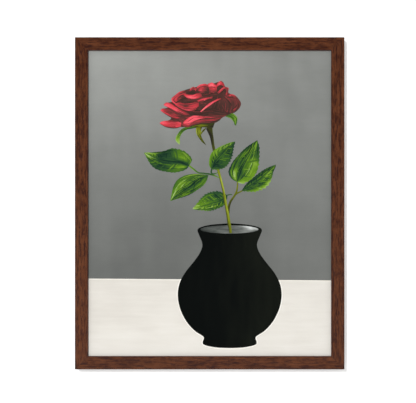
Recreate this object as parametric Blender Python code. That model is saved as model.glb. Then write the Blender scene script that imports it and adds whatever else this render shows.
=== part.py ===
"""A painted canvas in a plain walnut frame, hung by two D-rings.

Metres, +X to the picture's right, +Z up, +Y towards the wall. The origin is the centre of the
top rail's back face. The picture shows a rose in a round dark vase on a pale tabletop.
"""

import math

import bmesh
import bpy
from mathutils import Matrix, Vector

# Canvas and frame
CANVAS_WIDTH = 0.400
CANVAS_HEIGHT = 0.500
CANVAS_THICKNESS = 0.0008
CANVAS_FLAP = 0.020  # turned over the back of the stretcher bars
LIP_OVERLAP = 0.006  # how far the frame's lip covers the picture's edge
CANVAS_CLEARANCE = 0.0015  # between the canvas's edge and the rabbet's wall
MOULDING_WIDTH = 0.021
MOULDING_DEPTH = 0.024
LIP_THICKNESS = 0.006
OUTER_EDGE_RADIUS = 0.0015
SIGHT_EDGE_RADIUS = 0.0008
GAP = 0.0003  # between pieces that touch
FINE_GAP = 0.0001  # between flat films that lie on each other

# V-nails that pull the frame's mitres together
V_NAIL_LEG = 0.0045
V_NAIL_THICKNESS = 0.0009
V_NAIL_DEPTH = 0.008

# Stretcher bars and their corner keys
BAR_WIDTH = 0.038
BAR_DEPTH = 0.018
BAR_BEAD_WIDTH = 0.007  # the raised outer edge that holds the canvas off the bar
BAR_BEAD_HEIGHT = 0.002
TONGUE_THICKNESS = 0.0036
TONGUE_INSET = 0.0005  # the tongue is this much narrower than its bar, on each side
TONGUE_ROOT = 0.012  # how far the tongue runs back into its own bar
SLOT_EASE = 0.00018  # how much deeper a slot is than the tongue in it, at the front and the back
KEY_LENGTH = 0.031
KEY_SEATED = 0.024
KEY_NARROW = 0.008
KEY_WIDE = 0.013
KEY_PLAY = 0.0004  # how much thinner the key is than the tongue beside it

# Offset clips that hold the canvas in the rabbet
CLIP_WIDTH = 0.012
CLIP_THICKNESS = 0.0012
CLIP_REACH = 0.013  # over the stretcher bar, past the canvas's edge
CLIP_RISE_RUN = 0.0024
CLIP_BEND_SHARE = 0.45  # how far the strip's outer side runs on past a bend, in thicknesses
CLIP_FROM_CORNER = 0.090

# Strap hangers and their D-rings
RING_WIRE_RADIUS = 0.0010
RING_LEG = 0.006
RING_CORNER_RADIUS = 0.0016
RING_EDGE_MARGIN = 0.00025  # from the ring's side to the frame wall's edge
STRAP_THICKNESS = 0.0010
STRAP_LENGTH = 0.025
STRAP_HOLE_DROP = 0.019  # from the ring's hinge axis down to the screw
STRAP_SIDE_PLAY = 0.0005
HINGE_PLAY = 0.00035  # round the wire, inside the strap's loop
HANGER_FROM_TOP = 0.150

# Pan-head screws
SCREW_RADIUS = 0.0015
SCREW_LENGTH = 0.011
SCREW_HEAD_RADIUS = 0.0030
SCREW_HEAD_HEIGHT = 0.0018
RECESS_LENGTH = 0.0034
RECESS_WIDTH = 0.0007
RECESS_DEPTH = 0.0010

# Wall bumpers
BUMPER_RADIUS = 0.0055
BUMPER_THICKNESS = 0.006
BUMPER_CHAMFER = 0.001
BUMPER_FROM_SIDE = 0.030

# Paint, in three layers over the canvas
PAINT_THICKNESS = 0.0003
MOTIF_WIDTH = 400.0  # the canvas size, in millimetres, that the picture's outlines are drawn for
MOTIF_HEIGHT = 500.0
HORIZON = (-120.0, -123.0)  # height of the table's far edge, at the left and the right

# Worked out from the above
RABBET_WIDTH = LIP_OVERLAP + CANVAS_CLEARANCE
WALL_WIDTH = MOULDING_WIDTH - RABBET_WIDTH
WALL_MIDDLE = RABBET_WIDTH + WALL_WIDTH / 2
SIGHT_HALF_X = CANVAS_WIDTH / 2 - LIP_OVERLAP
SIGHT_HALF_Z = CANVAS_HEIGHT / 2 - LIP_OVERLAP
OUTER_HALF_X = SIGHT_HALF_X + MOULDING_WIDTH
OUTER_HALF_Z = SIGHT_HALF_Z + MOULDING_WIDTH
PICTURE_CENTRE_Z = -(SIGHT_HALF_Z + WALL_MIDDLE)
LIP_BACK_Y = -MOULDING_DEPTH + LIP_THICKNESS
CANVAS_FRONT_Y = LIP_BACK_Y + GAP + PAINT_THICKNESS + FINE_GAP
BAR_FRONT_Y = CANVAS_FRONT_Y + CANVAS_THICKNESS + GAP
BAR_BACK_Y = BAR_FRONT_Y + BAR_DEPTH
CANVAS_BACK_Y = BAR_BACK_Y + GAP + CANVAS_THICKNESS
BAR_HALF_X = CANVAS_WIDTH / 2 - CANVAS_THICKNESS - GAP
BAR_HALF_Z = CANVAS_HEIGHT / 2 - CANVAS_THICKNESS - GAP
CLIP_RISE_TOP = LIP_OVERLAP + CLIP_THICKNESS
CLIP_RISE_FOOT = CLIP_RISE_TOP + CLIP_RISE_RUN
CLIP_BEND = CLIP_THICKNESS * CLIP_BEND_SHARE
CLIP_FOOT_END = MOULDING_WIDTH - 2 * GAP
CLIP_SCREW_OUT = (CLIP_RISE_FOOT + CLIP_BEND + CLIP_FOOT_END) / 2
RING_HALF_WIDTH = WALL_WIDTH / 2 - RING_EDGE_MARGIN - RING_WIRE_RADIUS
RING_HEIGHT = RING_LEG + RING_HALF_WIDTH
STRAP_WIDTH = 2 * (RING_HALF_WIDTH - RING_WIRE_RADIUS - STRAP_SIDE_PLAY)
LOOP_INNER_RADIUS = RING_WIRE_RADIUS + HINGE_PLAY
LOOP_OUTER_RADIUS = LOOP_INNER_RADIUS + STRAP_THICKNESS
HINGE_Y = GAP + LOOP_OUTER_RADIUS
RING_LEAN = math.asin((HINGE_Y - RING_WIRE_RADIUS - GAP) / RING_HEIGHT)

SIDES = {"top": 0.0, "right": 90.0, "bottom": 180.0, "left": 270.0}
ROUND_SEGMENTS = 20
CURVE_STEPS = 5

# Outlines of the picture, in millimetres from its centre: right, up
VASE_MIDDLE = 32.0
VASE_HALF_PROFILE = [
    (0.0, -31.9), (28.0, -34.0), (46.0, -38.0), (51.5, -42.7), (48.5, -52.0), (43.6, -65.5),
    (47.5, -79.0), (58.0, -94.0), (71.5, -111.0), (80.6, -129.0), (83.1, -147.7), (79.5, -168.0),
    (70.0, -188.0), (56.0, -204.0), (41.6, -213.6), (43.0, -220.9), (41.0, -226.4), (22.0, -230.6),
    (0.0, -231.6),
]
VASE_MOUTH = (31.6, -41.8, 47.5, 7.2)  # middle, then half width and half height
ROSE_OUTLINE = [
    (-12.0, 123.0), (-35.0, 121.0), (-60.0, 121.5), (-79.0, 128.0), (-64.0, 134.0), (-66.0, 140.0),
    (-78.0, 150.0), (-68.0, 153.0), (-72.0, 160.0), (-60.0, 163.0), (-58.0, 172.0), (-41.0, 181.0),
    (-27.0, 185.0), (-9.0, 189.5), (3.0, 191.0), (17.0, 195.0), (23.0, 189.0), (30.0, 182.5),
    (29.0, 174.0), (36.0, 173.0), (49.5, 160.0), (46.0, 149.0), (36.0, 143.0), (22.0, 138.0),
    (12.0, 129.5),
]
# Each leaf: its base, one edge, its tip and the other edge back to the base
LEAVES = {
    "painted_leaf_upper_left": (
        (-33, 60), [(-28.5, 70), (-42, 83), (-61, 87), (-87, 83)], (-105, 81),
        [(-97, 68), (-91, 59), (-74.5, 52), (-56, 49), (-42, 53)],
    ),
    "painted_leaf_lower_left": (
        (-2, 45), [(-26, 46), (-42, 43), (-55, 33), (-60, 17)], (-63, 4),
        [(-40, 11), (-19, 22), (-7, 33)],
    ),
    "painted_leaf_middle": (
        (3, 54.5), [(-1, 67), (5, 82), (21, 93)], (41, 99), [(38, 85), (32, 68), (21, 57)],
    ),
    "painted_leaf_upper_right": (
        (44, 34), [(33, 43), (33, 56), (41, 71), (53, 84), (66, 94)], (76, 101),
        [(79, 90), (78, 72), (75, 59), (64, 42)],
    ),
    "painted_leaf_lower_right": (
        (51, 20), [(58, 30), (72, 42), (90, 54)], (106, 62), [(101, 50), (97, 37), (86, 25), (68, 19)],
    ),
    "painted_leaf_low_left": (
        (28.5, 10), [(24, 15), (14, 19), (-3, 16), (-14, 8)], (-26, -9), [(-12, -10.5), (2, -11), (20, -4)],
    ),
}
SEPALS = {
    "painted_sepal_left": (
        (-24, 123), [(-37, 122), (-47, 115), (-52, 106)], (-48, 95), [(-46, 104), (-41, 111), (-32, 117)],
    ),
    "painted_sepal_middle": (
        (-14, 124), [(-19, 120), (-19, 112), (-14.5, 102)], (-6.6, 93), [(-9, 101), (-12, 110), (-9, 118)],
    ),
    "painted_sepal_right": (
        (13.5, 141), [(24, 143), (34, 141), (40, 134)], (41, 124), [(36, 131), (28, 136), (20, 138)],
    ),
}
# Each point of a stem or a branch: its place, and half the width there
STEM = [
    (-0.7, 120, 5.2), (3.0, 107, 3.0), (5.0, 92, 2.3), (13, 56, 2.0), (20, 29, 2.0), (26.5, -5, 2.2),
    (31.5, -31, 2.5),
]
BRANCHES = [
    [(17, 40, 1.3), (0, 46, 1.1), (-17, 48, 1.1), (-36, 62, 1.0)],
    [(27.5, -9, 1.6), (33.5, 3, 1.6), (40, 12, 1.5), (43.5, 20, 1.3), (46, 36, 1.0)],
    [(40, 12, 1.4), (46, 17.5, 1.3), (55, 22, 1.0)],
]


# Small tools


def clear_scene():
    for obj in list(bpy.data.objects):
        bpy.data.objects.remove(obj, do_unlink=True)


def material(name, colour, roughness, metallic=0.0):
    made = bpy.data.materials.new(name)
    made.use_nodes = True
    made.diffuse_color = (*colour, 1.0)
    shader = made.node_tree.nodes["Principled BSDF"]
    shader.inputs["Base Color"].default_value = (*colour, 1.0)
    shader.inputs["Roughness"].default_value = roughness
    shader.inputs["Metallic"].default_value = metallic
    return made


def add(name, mesh_data, finish, parent, smooth=False):
    """An object of its own from a bmesh, hung on the empty at the picture's centre."""
    bmesh.ops.recalc_face_normals(mesh_data, faces=mesh_data.faces)
    mesh = bpy.data.meshes.new(name)
    mesh_data.to_mesh(mesh)
    mesh_data.free()
    if smooth:
        mesh.shade_smooth()
        mesh.set_sharp_from_angle(angle=math.radians(35))
    obj = bpy.data.objects.new(name, mesh)
    if finish is not None:
        mesh.materials.append(finish)
    obj.parent = parent
    bpy.context.scene.collection.objects.link(obj)
    return obj


def combine(obj, tool, operation="DIFFERENCE"):
    """Cuts the tool from the object, or joins it to it. The tool itself is left out of the model."""
    tool.hide_render = True
    tool.display_type = "WIRE"
    boolean = obj.modifiers.new(tool.name, "BOOLEAN")
    boolean.operation = operation
    boolean.solver = "EXACT"
    boolean.object = tool


def loft(rings, capped=True):
    """A bmesh through rings of points, closed by a face at each end, or back onto its first ring."""
    data = bmesh.new()
    rows = [[data.verts.new(point) for point in ring] for ring in rings]
    pairs = list(zip(rows, rows[1:])) + ([] if capped else [(rows[-1], rows[0])])
    for first, second in pairs:
        for i in range(len(first)):
            j = (i + 1) % len(first)
            data.faces.new((first[i], first[j], second[j], second[i]))
    if capped:
        data.faces.new(rows[0])
        data.faces.new(reversed(rows[-1]))
    return data


def plate(outline, front_y, back_y):
    """A flat piece with the outline in X and Z."""
    return loft([[(x, y, z) for x, z in outline] for y in (front_y, back_y)])


def box(low, high):
    outline = [(low[0], low[2]), (high[0], low[2]), (high[0], high[2]), (low[0], high[2])]
    return plate(outline, low[1], high[1])


def turned(profile, segments=ROUND_SEGMENTS):
    """A closed body turned about +Y. The profile is (radius, y), and its ends are flat discs."""
    angles = [2 * math.pi * i / segments for i in range(segments)]
    return loft([[(r * math.cos(a), y, r * math.sin(a)) for a in angles] for r, y in profile])


def arc(centre, radius, start, end, steps):
    """Points round a centre, from one angle to the other, in degrees."""
    angles = [math.radians(start + (end - start) * i / steps) for i in range(steps + 1)]
    return [(centre[0] + radius * math.cos(a), centre[1] + radius * math.sin(a)) for a in angles]


def curve_through(points, closed=False, steps=CURVE_STEPS):
    """A smooth line through the points, which may carry more values than a place."""
    count = len(points)
    spans = count if closed else count - 1
    line = []
    for i in range(spans):
        if closed:
            near = [Vector(points[(i + k) % count]) for k in (-1, 0, 1, 2)]
        else:
            near = [Vector(points[min(max(i + k, 0), count - 1)]) for k in (-1, 0, 1, 2)]
        for step in range(steps):
            t = step / steps
            line.append(
                0.5
                * (
                    2 * near[1]
                    + (near[2] - near[0]) * t
                    + (2 * near[0] - 5 * near[1] + 4 * near[2] - near[3]) * t * t
                    + (3 * near[1] - near[0] - 3 * near[2] + near[3]) * t * t * t
                )
            )
    return line if closed else line + [Vector(points[-1])]


def side_matrix(side):
    return Matrix.Rotation(math.radians(SIDES[side]), 4, "Y")


def side_halves(side, half_x, half_z):
    """Half the length along a side of a rectangle, and the side's distance from the centre."""
    return (half_x, half_z) if side in ("top", "bottom") else (half_z, half_x)


# Frame


def mitred_bar(profile, half_length, distance):
    """A bar along the top of a rectangle. The profile is (outward from the rectangle, y)."""
    setback = GAP / math.sqrt(2)
    rings = []
    for end in (-1, 1):
        rings.append([(end * (half_length + r - setback), y, distance + r) for r, y in profile])
    return loft(rings)


def moulding_profile():
    """From the sight edge outwards: a flat face with eased edges, and a rabbet behind its lip."""
    front = -MOULDING_DEPTH
    sight = arc((SIGHT_EDGE_RADIUS, front + SIGHT_EDGE_RADIUS), SIGHT_EDGE_RADIUS, 180, 270, 3)
    outer_centre = (MOULDING_WIDTH - OUTER_EDGE_RADIUS, front + OUTER_EDGE_RADIUS)
    outer = arc(outer_centre, OUTER_EDGE_RADIUS, 270, 360, 4)
    back = [(MOULDING_WIDTH, 0.0), (RABBET_WIDTH, 0.0), (RABBET_WIDTH, LIP_BACK_Y), (0.0, LIP_BACK_Y)]
    return sight + outer + back


def v_nail_outline(ease=0.0):
    """A V across the line of the mitre, which here runs along +Z, grown by ease all round."""
    leg = V_NAIL_LEG + ease
    half = V_NAIL_THICKNESS / 2 + ease
    diagonal = math.sqrt(0.5)
    along, across = leg * diagonal, half / diagonal
    return [
        (0.0, across), (-along - half * diagonal, across - along - half * diagonal),
        (-along + half * diagonal, -along - half * diagonal), (0.0, -across),
        (along - half * diagonal, -along - half * diagonal),
        (along + half * diagonal, across - along - half * diagonal),
    ]


def corner_place(right, up):
    """Middle of the frame wall's mitre, turned so that +Z points out along the mitre."""
    middle = Vector((right * (SIGHT_HALF_X + WALL_MIDDLE), 0.0, up * (SIGHT_HALF_Z + WALL_MIDDLE)))
    angle = math.atan2(right, up)
    return Matrix.Translation(middle) @ Matrix.Rotation(angle, 4, "Y")


def make_frame(centre, wood, steel):
    rails = {}
    for side in SIDES:
        half_length, distance = side_halves(side, SIGHT_HALF_X, SIGHT_HALF_Z)
        data = mitred_bar(moulding_profile(), half_length, distance)
        data.transform(side_matrix(side))
        rails[side] = add(f"frame_rail_{side}", data, wood, centre, smooth=True)
    for vertical, up in (("top", 1), ("bottom", -1)):
        for horizontal, right in (("left", -1), ("right", 1)):
            place = corner_place(right, up)
            nail = plate(v_nail_outline(), GAP - V_NAIL_DEPTH, -GAP)
            nail.transform(place)
            add(f"v_nail_{vertical}_{horizontal}", nail, steel, centre)
            pocket = plate(v_nail_outline(GAP), -V_NAIL_DEPTH, GAP)
            pocket.transform(place)
            cutter = add(f"v_nail_pocket_{vertical}_{horizontal}", pocket, None, centre)
            combine(rails[vertical], cutter)
            combine(rails[horizontal], cutter)
    return rails


# Stretcher and canvas


def bar_profile():
    """From the bar's outer edge inwards, with the bead at the front."""
    return [
        (0.0, BAR_FRONT_Y), (-BAR_BEAD_WIDTH, BAR_FRONT_Y),
        (-BAR_BEAD_WIDTH - BAR_BEAD_HEIGHT, BAR_FRONT_Y + BAR_BEAD_HEIGHT),
        (-BAR_WIDTH, BAR_FRONT_Y + BAR_BEAD_HEIGHT), (-BAR_WIDTH, BAR_BACK_Y), (0.0, BAR_BACK_Y),
    ]


def tongue_layer(level):
    """Front and back of a tongue: the level and the upright bars' tongues lie side by side."""
    middle = (BAR_FRONT_Y + BAR_BACK_Y) / 2
    if level:
        return middle - GAP / 2 - TONGUE_THICKNESS, middle - GAP / 2
    return middle + GAP / 2, middle + GAP / 2 + TONGUE_THICKNESS


def key_outline(end, corner, inner_edge, ease=0.0):
    """A tapered key against the other bar's tongue, driven outwards from the inner edge."""
    taper = (KEY_WIDE - KEY_NARROW) / KEY_LENGTH
    wide_z = inner_edge + KEY_SEATED - KEY_LENGTH - ease
    narrow_z = inner_edge + KEY_SEATED + ease
    return [
        (end * (corner + ease), wide_z), (end * (corner + ease), narrow_z),
        (end * (corner - KEY_NARROW - ease + taper * ease), narrow_z),
        (end * (corner - KEY_WIDE - ease - taper * ease), wide_z),
    ]


def make_stretcher(centre, pine, key_wood):
    for side in SIDES:
        level = side in ("top", "bottom")
        half_length, distance = side_halves(side, BAR_HALF_X, BAR_HALF_Z)
        turn = side_matrix(side)
        data = mitred_bar(bar_profile(), half_length, distance)
        data.transform(turn)
        bar = add(f"stretcher_bar_{side}", data, pine, centre)
        own_front, own_back = tongue_layer(level)
        slot_front, slot_back = tongue_layer(not level)
        cut_front, cut_back = slot_front - SLOT_EASE, slot_back + SLOT_EASE
        inner_edge = distance - BAR_WIDTH
        corner = half_length - BAR_WIDTH
        for end in (-1, 1):
            tail = "start" if end < 0 else "end"
            near, far = sorted((end * (corner - GAP), end * (half_length + GAP)))
            slot = box((near, cut_front, inner_edge - GAP), (far, cut_back, distance + GAP))
            slot.transform(turn)
            combine(bar, add(f"slot_{side}_{tail}", slot, None, centre))
            seat = plate(key_outline(end, corner, inner_edge, GAP), cut_front, cut_back)
            seat.transform(turn)
            combine(bar, add(f"key_seat_{side}_{tail}", seat, None, centre))
            near, far = sorted((end * (corner - TONGUE_ROOT), end * (half_length - TONGUE_INSET)))
            tongue = box(
                (near, own_front, inner_edge + TONGUE_INSET), (far, own_back, distance - TONGUE_INSET)
            )
            tongue.transform(turn)
            combine(bar, add(f"tongue_{side}_{tail}", tongue, None, centre), "UNION")
            key = plate(
                key_outline(end, corner, inner_edge), slot_front + KEY_PLAY / 2, slot_back - KEY_PLAY / 2
            )
            key.transform(turn)
            add(f"canvas_key_{side}_{corner_name(side, end)}", key, key_wood, centre)


def corner_name(side, end):
    """Which end of the bar it is, in words, once the bar stands on its own side."""
    tip = side_matrix(side) @ Vector((end, 0, 0))
    if side in ("top", "bottom"):
        return "right" if tip.x > 0 else "left"
    return "upper" if tip.z > 0 else "lower"


def make_canvas(centre, cloth):
    """One sheet over the bars' front and edges, and turned in behind them."""
    thick = CANVAS_THICKNESS
    path = [
        (0.0, CANVAS_FRONT_Y), (0.0, CANVAS_BACK_Y), (CANVAS_FLAP, CANVAS_BACK_Y),
        (CANVAS_FLAP, CANVAS_BACK_Y - thick), (thick, CANVAS_BACK_Y - thick),
        (thick, CANVAS_FRONT_Y + thick),
    ]
    rings = []
    for inset, y in path:
        x, z = CANVAS_WIDTH / 2 - inset, CANVAS_HEIGHT / 2 - inset
        rings.append([(-x, y, -z), (x, y, -z), (x, y, z), (-x, y, z)])
    add("canvas", loft(rings), cloth, centre)


# Hardware on the back


def screw_place(name, side, along, out, seat_y, rail, centre, steel):
    """A pan-head screw whose head sits at seat_y, with its pilot hole in the rail."""
    place = side_matrix(side) @ Matrix.Translation((along, 0.0, out))
    head = SCREW_HEAD_RADIUS
    profile = [
        (SCREW_RADIUS * 0.2, seat_y - SCREW_LENGTH), (SCREW_RADIUS, seat_y - SCREW_LENGTH * 0.8),
        (SCREW_RADIUS, seat_y + GAP), (head, seat_y + GAP), (head, seat_y + SCREW_HEAD_HEIGHT * 0.45),
        (head * 0.82, seat_y + SCREW_HEAD_HEIGHT * 0.82), (head * 0.45, seat_y + SCREW_HEAD_HEIGHT),
    ]
    shank = turned(profile)
    shank.transform(place)
    screw = add(name, shank, steel, centre, smooth=True)
    top = seat_y + SCREW_HEAD_HEIGHT
    for arm, size in (("level", (RECESS_LENGTH, RECESS_WIDTH)), ("upright", (RECESS_WIDTH, RECESS_LENGTH))):
        slot = box((-size[0] / 2, top - RECESS_DEPTH, -size[1] / 2), (size[0] / 2, top + GAP, size[1] / 2))
        slot.transform(place)
        combine(screw, add(f"{name}_recess_{arm}", slot, None, centre))
    hole = turned([(SCREW_RADIUS + GAP, seat_y - SCREW_LENGTH - GAP), (SCREW_RADIUS + GAP, seat_y + GAP)])
    hole.transform(place)
    cutter = add(f"{name}_hole", hole, None, centre)
    combine(rail, cutter)
    return cutter


def clip_profile():
    """(outward, y) round a cranked strip: a foot on the frame, a rise, and an arm over the bar."""
    foot, arm = GAP, CANVAS_BACK_Y + GAP
    tip = LIP_OVERLAP - CLIP_REACH
    return [
        (CLIP_FOOT_END, foot), (CLIP_RISE_FOOT, foot), (CLIP_RISE_TOP, arm), (tip, arm),
        (tip, arm + CLIP_THICKNESS), (CLIP_RISE_TOP + CLIP_BEND, arm + CLIP_THICKNESS),
        (CLIP_RISE_FOOT + CLIP_BEND, foot + CLIP_THICKNESS), (CLIP_FOOT_END, foot + CLIP_THICKNESS),
    ]


def make_clips(centre, rails, steel):
    for side in ("left", "right"):
        half_length, distance = side_halves(side, SIGHT_HALF_X, SIGHT_HALF_Z)
        for level, where in (("upper", 1), ("lower", -1)):
            spin = 1 if side == "left" else -1
            along = where * spin * (half_length + MOULDING_WIDTH - CLIP_FROM_CORNER)
            rings = []
            for edge in (-CLIP_WIDTH / 2, CLIP_WIDTH / 2):
                rings.append([(along + edge, y, distance + r) for r, y in clip_profile()])
            data = loft(rings)
            data.transform(side_matrix(side))
            clip = add(f"offset_clip_{side}_{level}", data, steel, centre)
            name = f"clip_screw_{side}_{level}"
            seat_y = GAP + CLIP_THICKNESS
            out = distance + CLIP_SCREW_OUT
            hole = screw_place(name, side, along, out, seat_y, rails[side], centre, steel)
            combine(clip, hole)


def strap_data():
    """A strip that lies on the frame and curls round the ring's bar, at the local origin."""
    round_bar = (0.0, HINGE_Y)
    outline = [(-STRAP_LENGTH, GAP)]
    outline += arc(round_bar, LOOP_OUTER_RADIUS, -90, 200, 16)
    outline += arc(round_bar, LOOP_INNER_RADIUS, 200, -90, 16)
    outline += [(-STRAP_LENGTH, GAP + STRAP_THICKNESS)]
    half = STRAP_WIDTH / 2
    data = loft([[(x, y, z) for z, y in outline] for x in (-half, half)])
    ends = [
        edge
        for edge in data.edges
        if all(abs(v.co.z + STRAP_LENGTH) < 1e-6 for v in edge.verts)
        and abs(edge.verts[0].co.x - edge.verts[1].co.x) < 1e-6
    ]
    bmesh.ops.bevel(data, geom=ends, offset=half * 0.7, segments=4, profile=0.5, affect="EDGES")
    return data


def ring_path():
    """Round the D, in X and Z: a straight bar on the hinge, two legs and a half circle."""
    half, corner = RING_HALF_WIDTH, RING_CORNER_RADIUS
    path = arc((half - corner, corner), corner, -90, 0, 3)
    path += arc((0.0, RING_LEG), half, 0, 180, 14)
    path += arc((-half + corner, corner), corner, 180, 270, 3)
    return path


def ring_data(sides=10):
    """Round wire along the D."""
    path = [Vector((x, 0.0, z)) for x, z in ring_path()]
    rings = []
    for i, point in enumerate(path):
        ahead = (path[(i + 1) % len(path)] - point).normalized()
        behind = (point - path[i - 1]).normalized()
        along = (ahead + behind).normalized()
        outward = along.cross(Vector((0, 1, 0)))
        stretch = 1 / max(along.dot(ahead), 0.5)
        ring = []
        for k in range(sides):
            angle = 2 * math.pi * k / sides
            offset = outward * math.cos(angle) * stretch + Vector((0, 1, 0)) * math.sin(angle)
            ring.append(point + offset * RING_WIRE_RADIUS)
        rings.append(ring)
    return loft(rings, capped=False)


def make_hangers(centre, rails, steel, wire):
    for side, right in (("left", -1), ("right", 1)):
        x = right * (SIGHT_HALF_X + WALL_MIDDLE)
        z = OUTER_HALF_Z - HANGER_FROM_TOP
        strap = add(f"hanger_strap_{side}", strap_data(), steel, centre, smooth=True)
        strap.location = (x, 0.0, z)
        along = -right * (z - STRAP_HOLE_DROP)
        name = f"strap_screw_{side}"
        seat_y = GAP + STRAP_THICKNESS
        hole = screw_place(name, side, along, abs(x), seat_y, rails[side], centre, steel)
        combine(strap, hole)
        ring = add(f"d_ring_{side}", ring_data(), wire, centre, smooth=True)
        ring.location = (x, HINGE_Y, z)
        ring.rotation_euler = (RING_LEAN, 0.0, 0.0)


def make_bumpers(centre, rubber):
    radius, thick = BUMPER_RADIUS, BUMPER_THICKNESS
    for side, right in (("left", -1), ("right", 1)):
        data = turned([
            (radius, GAP), (radius, thick - BUMPER_CHAMFER), (radius - BUMPER_CHAMFER, thick),
        ])
        bumper = add(f"wall_bumper_{side}", data, rubber, centre, smooth=True)
        bumper.location = (right * (OUTER_HALF_X - BUMPER_FROM_SIDE), 0.0, -(SIGHT_HALF_Z + WALL_MIDDLE))


# Paint


def on_canvas(point):
    """A place in the picture, in millimetres on the canvas it was drawn for, in metres on this one."""
    return point[0] * CANVAS_WIDTH / MOTIF_WIDTH, point[1] * CANVAS_HEIGHT / MOTIF_HEIGHT


def paint(name, outline, layer, colour, centre, trim=0.0):
    """A film of paint. Layer 0 lies on the canvas, and each next one on the one before."""
    back = CANVAS_FRONT_Y - FINE_GAP - layer * (PAINT_THICKNESS + FINE_GAP)
    finish = material(name, colour, 0.55)
    points = [on_canvas(point) for point in outline]
    return add(name, plate(points, back - PAINT_THICKNESS + trim, back - trim), finish, centre)


def leaf_outline(base, edge, tip, other_edge):
    """Two smooth edges that meet in a point at both ends."""
    there = curve_through([base, *edge, tip])
    back = curve_through([tip, *other_edge, base])
    return there[:-1] + back[:-1]


def ribbon_outline(spine):
    """A band along a curve. Each point of the spine is (right, up, half width)."""
    line = curve_through(spine)
    left, right = [], []
    for i, point in enumerate(line):
        ahead = line[min(i + 1, len(line) - 1)] - line[max(i - 1, 0)]
        across = Vector((-ahead[1], ahead[0])).normalized() * point[2]
        left.append((point[0] + across[0], point[1] + across[1]))
        right.append((point[0] - across[0], point[1] - across[1]))
    return left + right[::-1]


def vase_outline():
    half = [(x, z) for x, z in curve_through(VASE_HALF_PROFILE, steps=3)]
    right = [(VASE_MIDDLE + x, z) for x, z in half]
    left = [(VASE_MIDDLE - x, z) for x, z in half[1:-1]]
    return right + left[::-1]


def make_picture(centre):
    left, right = -MOTIF_WIDTH / 2, MOTIF_WIDTH / 2
    low, high = -MOTIF_HEIGHT / 2, MOTIF_HEIGHT / 2
    seam = GAP * 1000
    backdrop = [(left, HORIZON[0]), (right, HORIZON[1]), (right, high), (left, high)]
    tabletop = [(left, low), (right, low), (right, HORIZON[1] - seam), (left, HORIZON[0] - seam)]
    paint("painted_backdrop", backdrop, 0, (0.26, 0.27, 0.255), centre)
    paint("painted_tabletop", tabletop, 0, (0.80, 0.78, 0.74), centre)
    paint("painted_vase", vase_outline(), 1, (0.008, 0.009, 0.008), centre)
    x, z, half_width, half_height = VASE_MOUTH
    mouth = [(x + half_width * c, z + half_height * s) for c, s in arc((0, 0), 1, 0, 345, 23)]
    paint("painted_vase_mouth", mouth, 2, (0.30, 0.32, 0.32), centre)
    stem = paint("painted_stem", ribbon_outline(STEM), 1, (0.13, 0.15, 0.015), centre)
    for number, spine in enumerate(BRANCHES, 1):
        name = f"painted_branch_{number}"
        trim = PAINT_THICKNESS * 0.1 * number
        branch = paint(name, ribbon_outline(spine), 1, (0.13, 0.15, 0.015), centre, trim)
        combine(stem, branch, "UNION")
    for name, leaf in LEAVES.items():
        paint(name, leaf_outline(*leaf), 2, (0.06, 0.13, 0.03), centre)
    for name, sepal in SEPALS.items():
        paint(name, leaf_outline(*sepal), 1, (0.12, 0.15, 0.03), centre)
    paint("painted_rose", curve_through(ROSE_OUTLINE, closed=True, steps=3), 2, (0.62, 0.05, 0.06), centre)


def main():
    clear_scene()
    walnut = material("walnut", (0.10, 0.035, 0.017), 0.45)
    pine = material("pine", (0.62, 0.44, 0.25), 0.6)
    beech = material("beech", (0.66, 0.42, 0.22), 0.55)
    cloth = material("primed_canvas", (0.72, 0.66, 0.54), 0.85)
    zinc = material("zinc_plated_steel", (0.62, 0.62, 0.60), 0.35, 1.0)
    brass = material("brassed_steel", (0.70, 0.53, 0.26), 0.3, 1.0)
    rubber = material("bumper_rubber", (0.03, 0.03, 0.03), 0.7)
    centre = bpy.data.objects.new("picture_centre", None)
    centre.location = (0.0, 0.0, PICTURE_CENTRE_Z)
    bpy.context.scene.collection.objects.link(centre)
    rails = make_frame(centre, walnut, zinc)
    make_stretcher(centre, pine, beech)
    make_canvas(centre, cloth)
    make_clips(centre, rails, zinc)
    make_hangers(centre, rails, brass, brass)
    make_bumpers(centre, rubber)
    make_picture(centre)


main()
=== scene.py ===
import math
import random

import bmesh
import bpy
import numpy as np
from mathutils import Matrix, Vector, noise


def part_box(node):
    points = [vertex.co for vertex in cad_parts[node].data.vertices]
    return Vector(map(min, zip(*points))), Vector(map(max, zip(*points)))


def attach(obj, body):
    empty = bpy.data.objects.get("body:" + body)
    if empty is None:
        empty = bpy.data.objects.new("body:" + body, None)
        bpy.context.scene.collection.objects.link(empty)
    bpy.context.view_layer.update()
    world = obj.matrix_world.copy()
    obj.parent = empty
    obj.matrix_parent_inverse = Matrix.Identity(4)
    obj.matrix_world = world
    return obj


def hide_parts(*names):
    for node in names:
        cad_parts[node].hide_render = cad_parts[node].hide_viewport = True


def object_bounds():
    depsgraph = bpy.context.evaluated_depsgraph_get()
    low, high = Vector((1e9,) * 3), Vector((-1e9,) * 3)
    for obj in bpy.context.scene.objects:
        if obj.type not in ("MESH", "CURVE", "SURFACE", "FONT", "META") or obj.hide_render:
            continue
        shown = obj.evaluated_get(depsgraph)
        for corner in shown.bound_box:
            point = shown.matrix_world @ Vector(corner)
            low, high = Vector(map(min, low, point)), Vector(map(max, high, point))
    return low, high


# Looks of a painted canvas in a plain walnut frame. Metres in the CAD's frame, except that the
# picture's outlines are in millimetres from its middle: right, up.

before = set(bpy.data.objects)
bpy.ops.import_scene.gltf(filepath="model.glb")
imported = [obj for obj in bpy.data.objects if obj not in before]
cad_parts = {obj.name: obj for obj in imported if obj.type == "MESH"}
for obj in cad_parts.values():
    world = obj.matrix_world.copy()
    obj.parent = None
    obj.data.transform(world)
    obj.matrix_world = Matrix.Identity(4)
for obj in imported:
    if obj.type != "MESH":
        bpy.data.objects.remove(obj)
cad_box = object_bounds()

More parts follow.
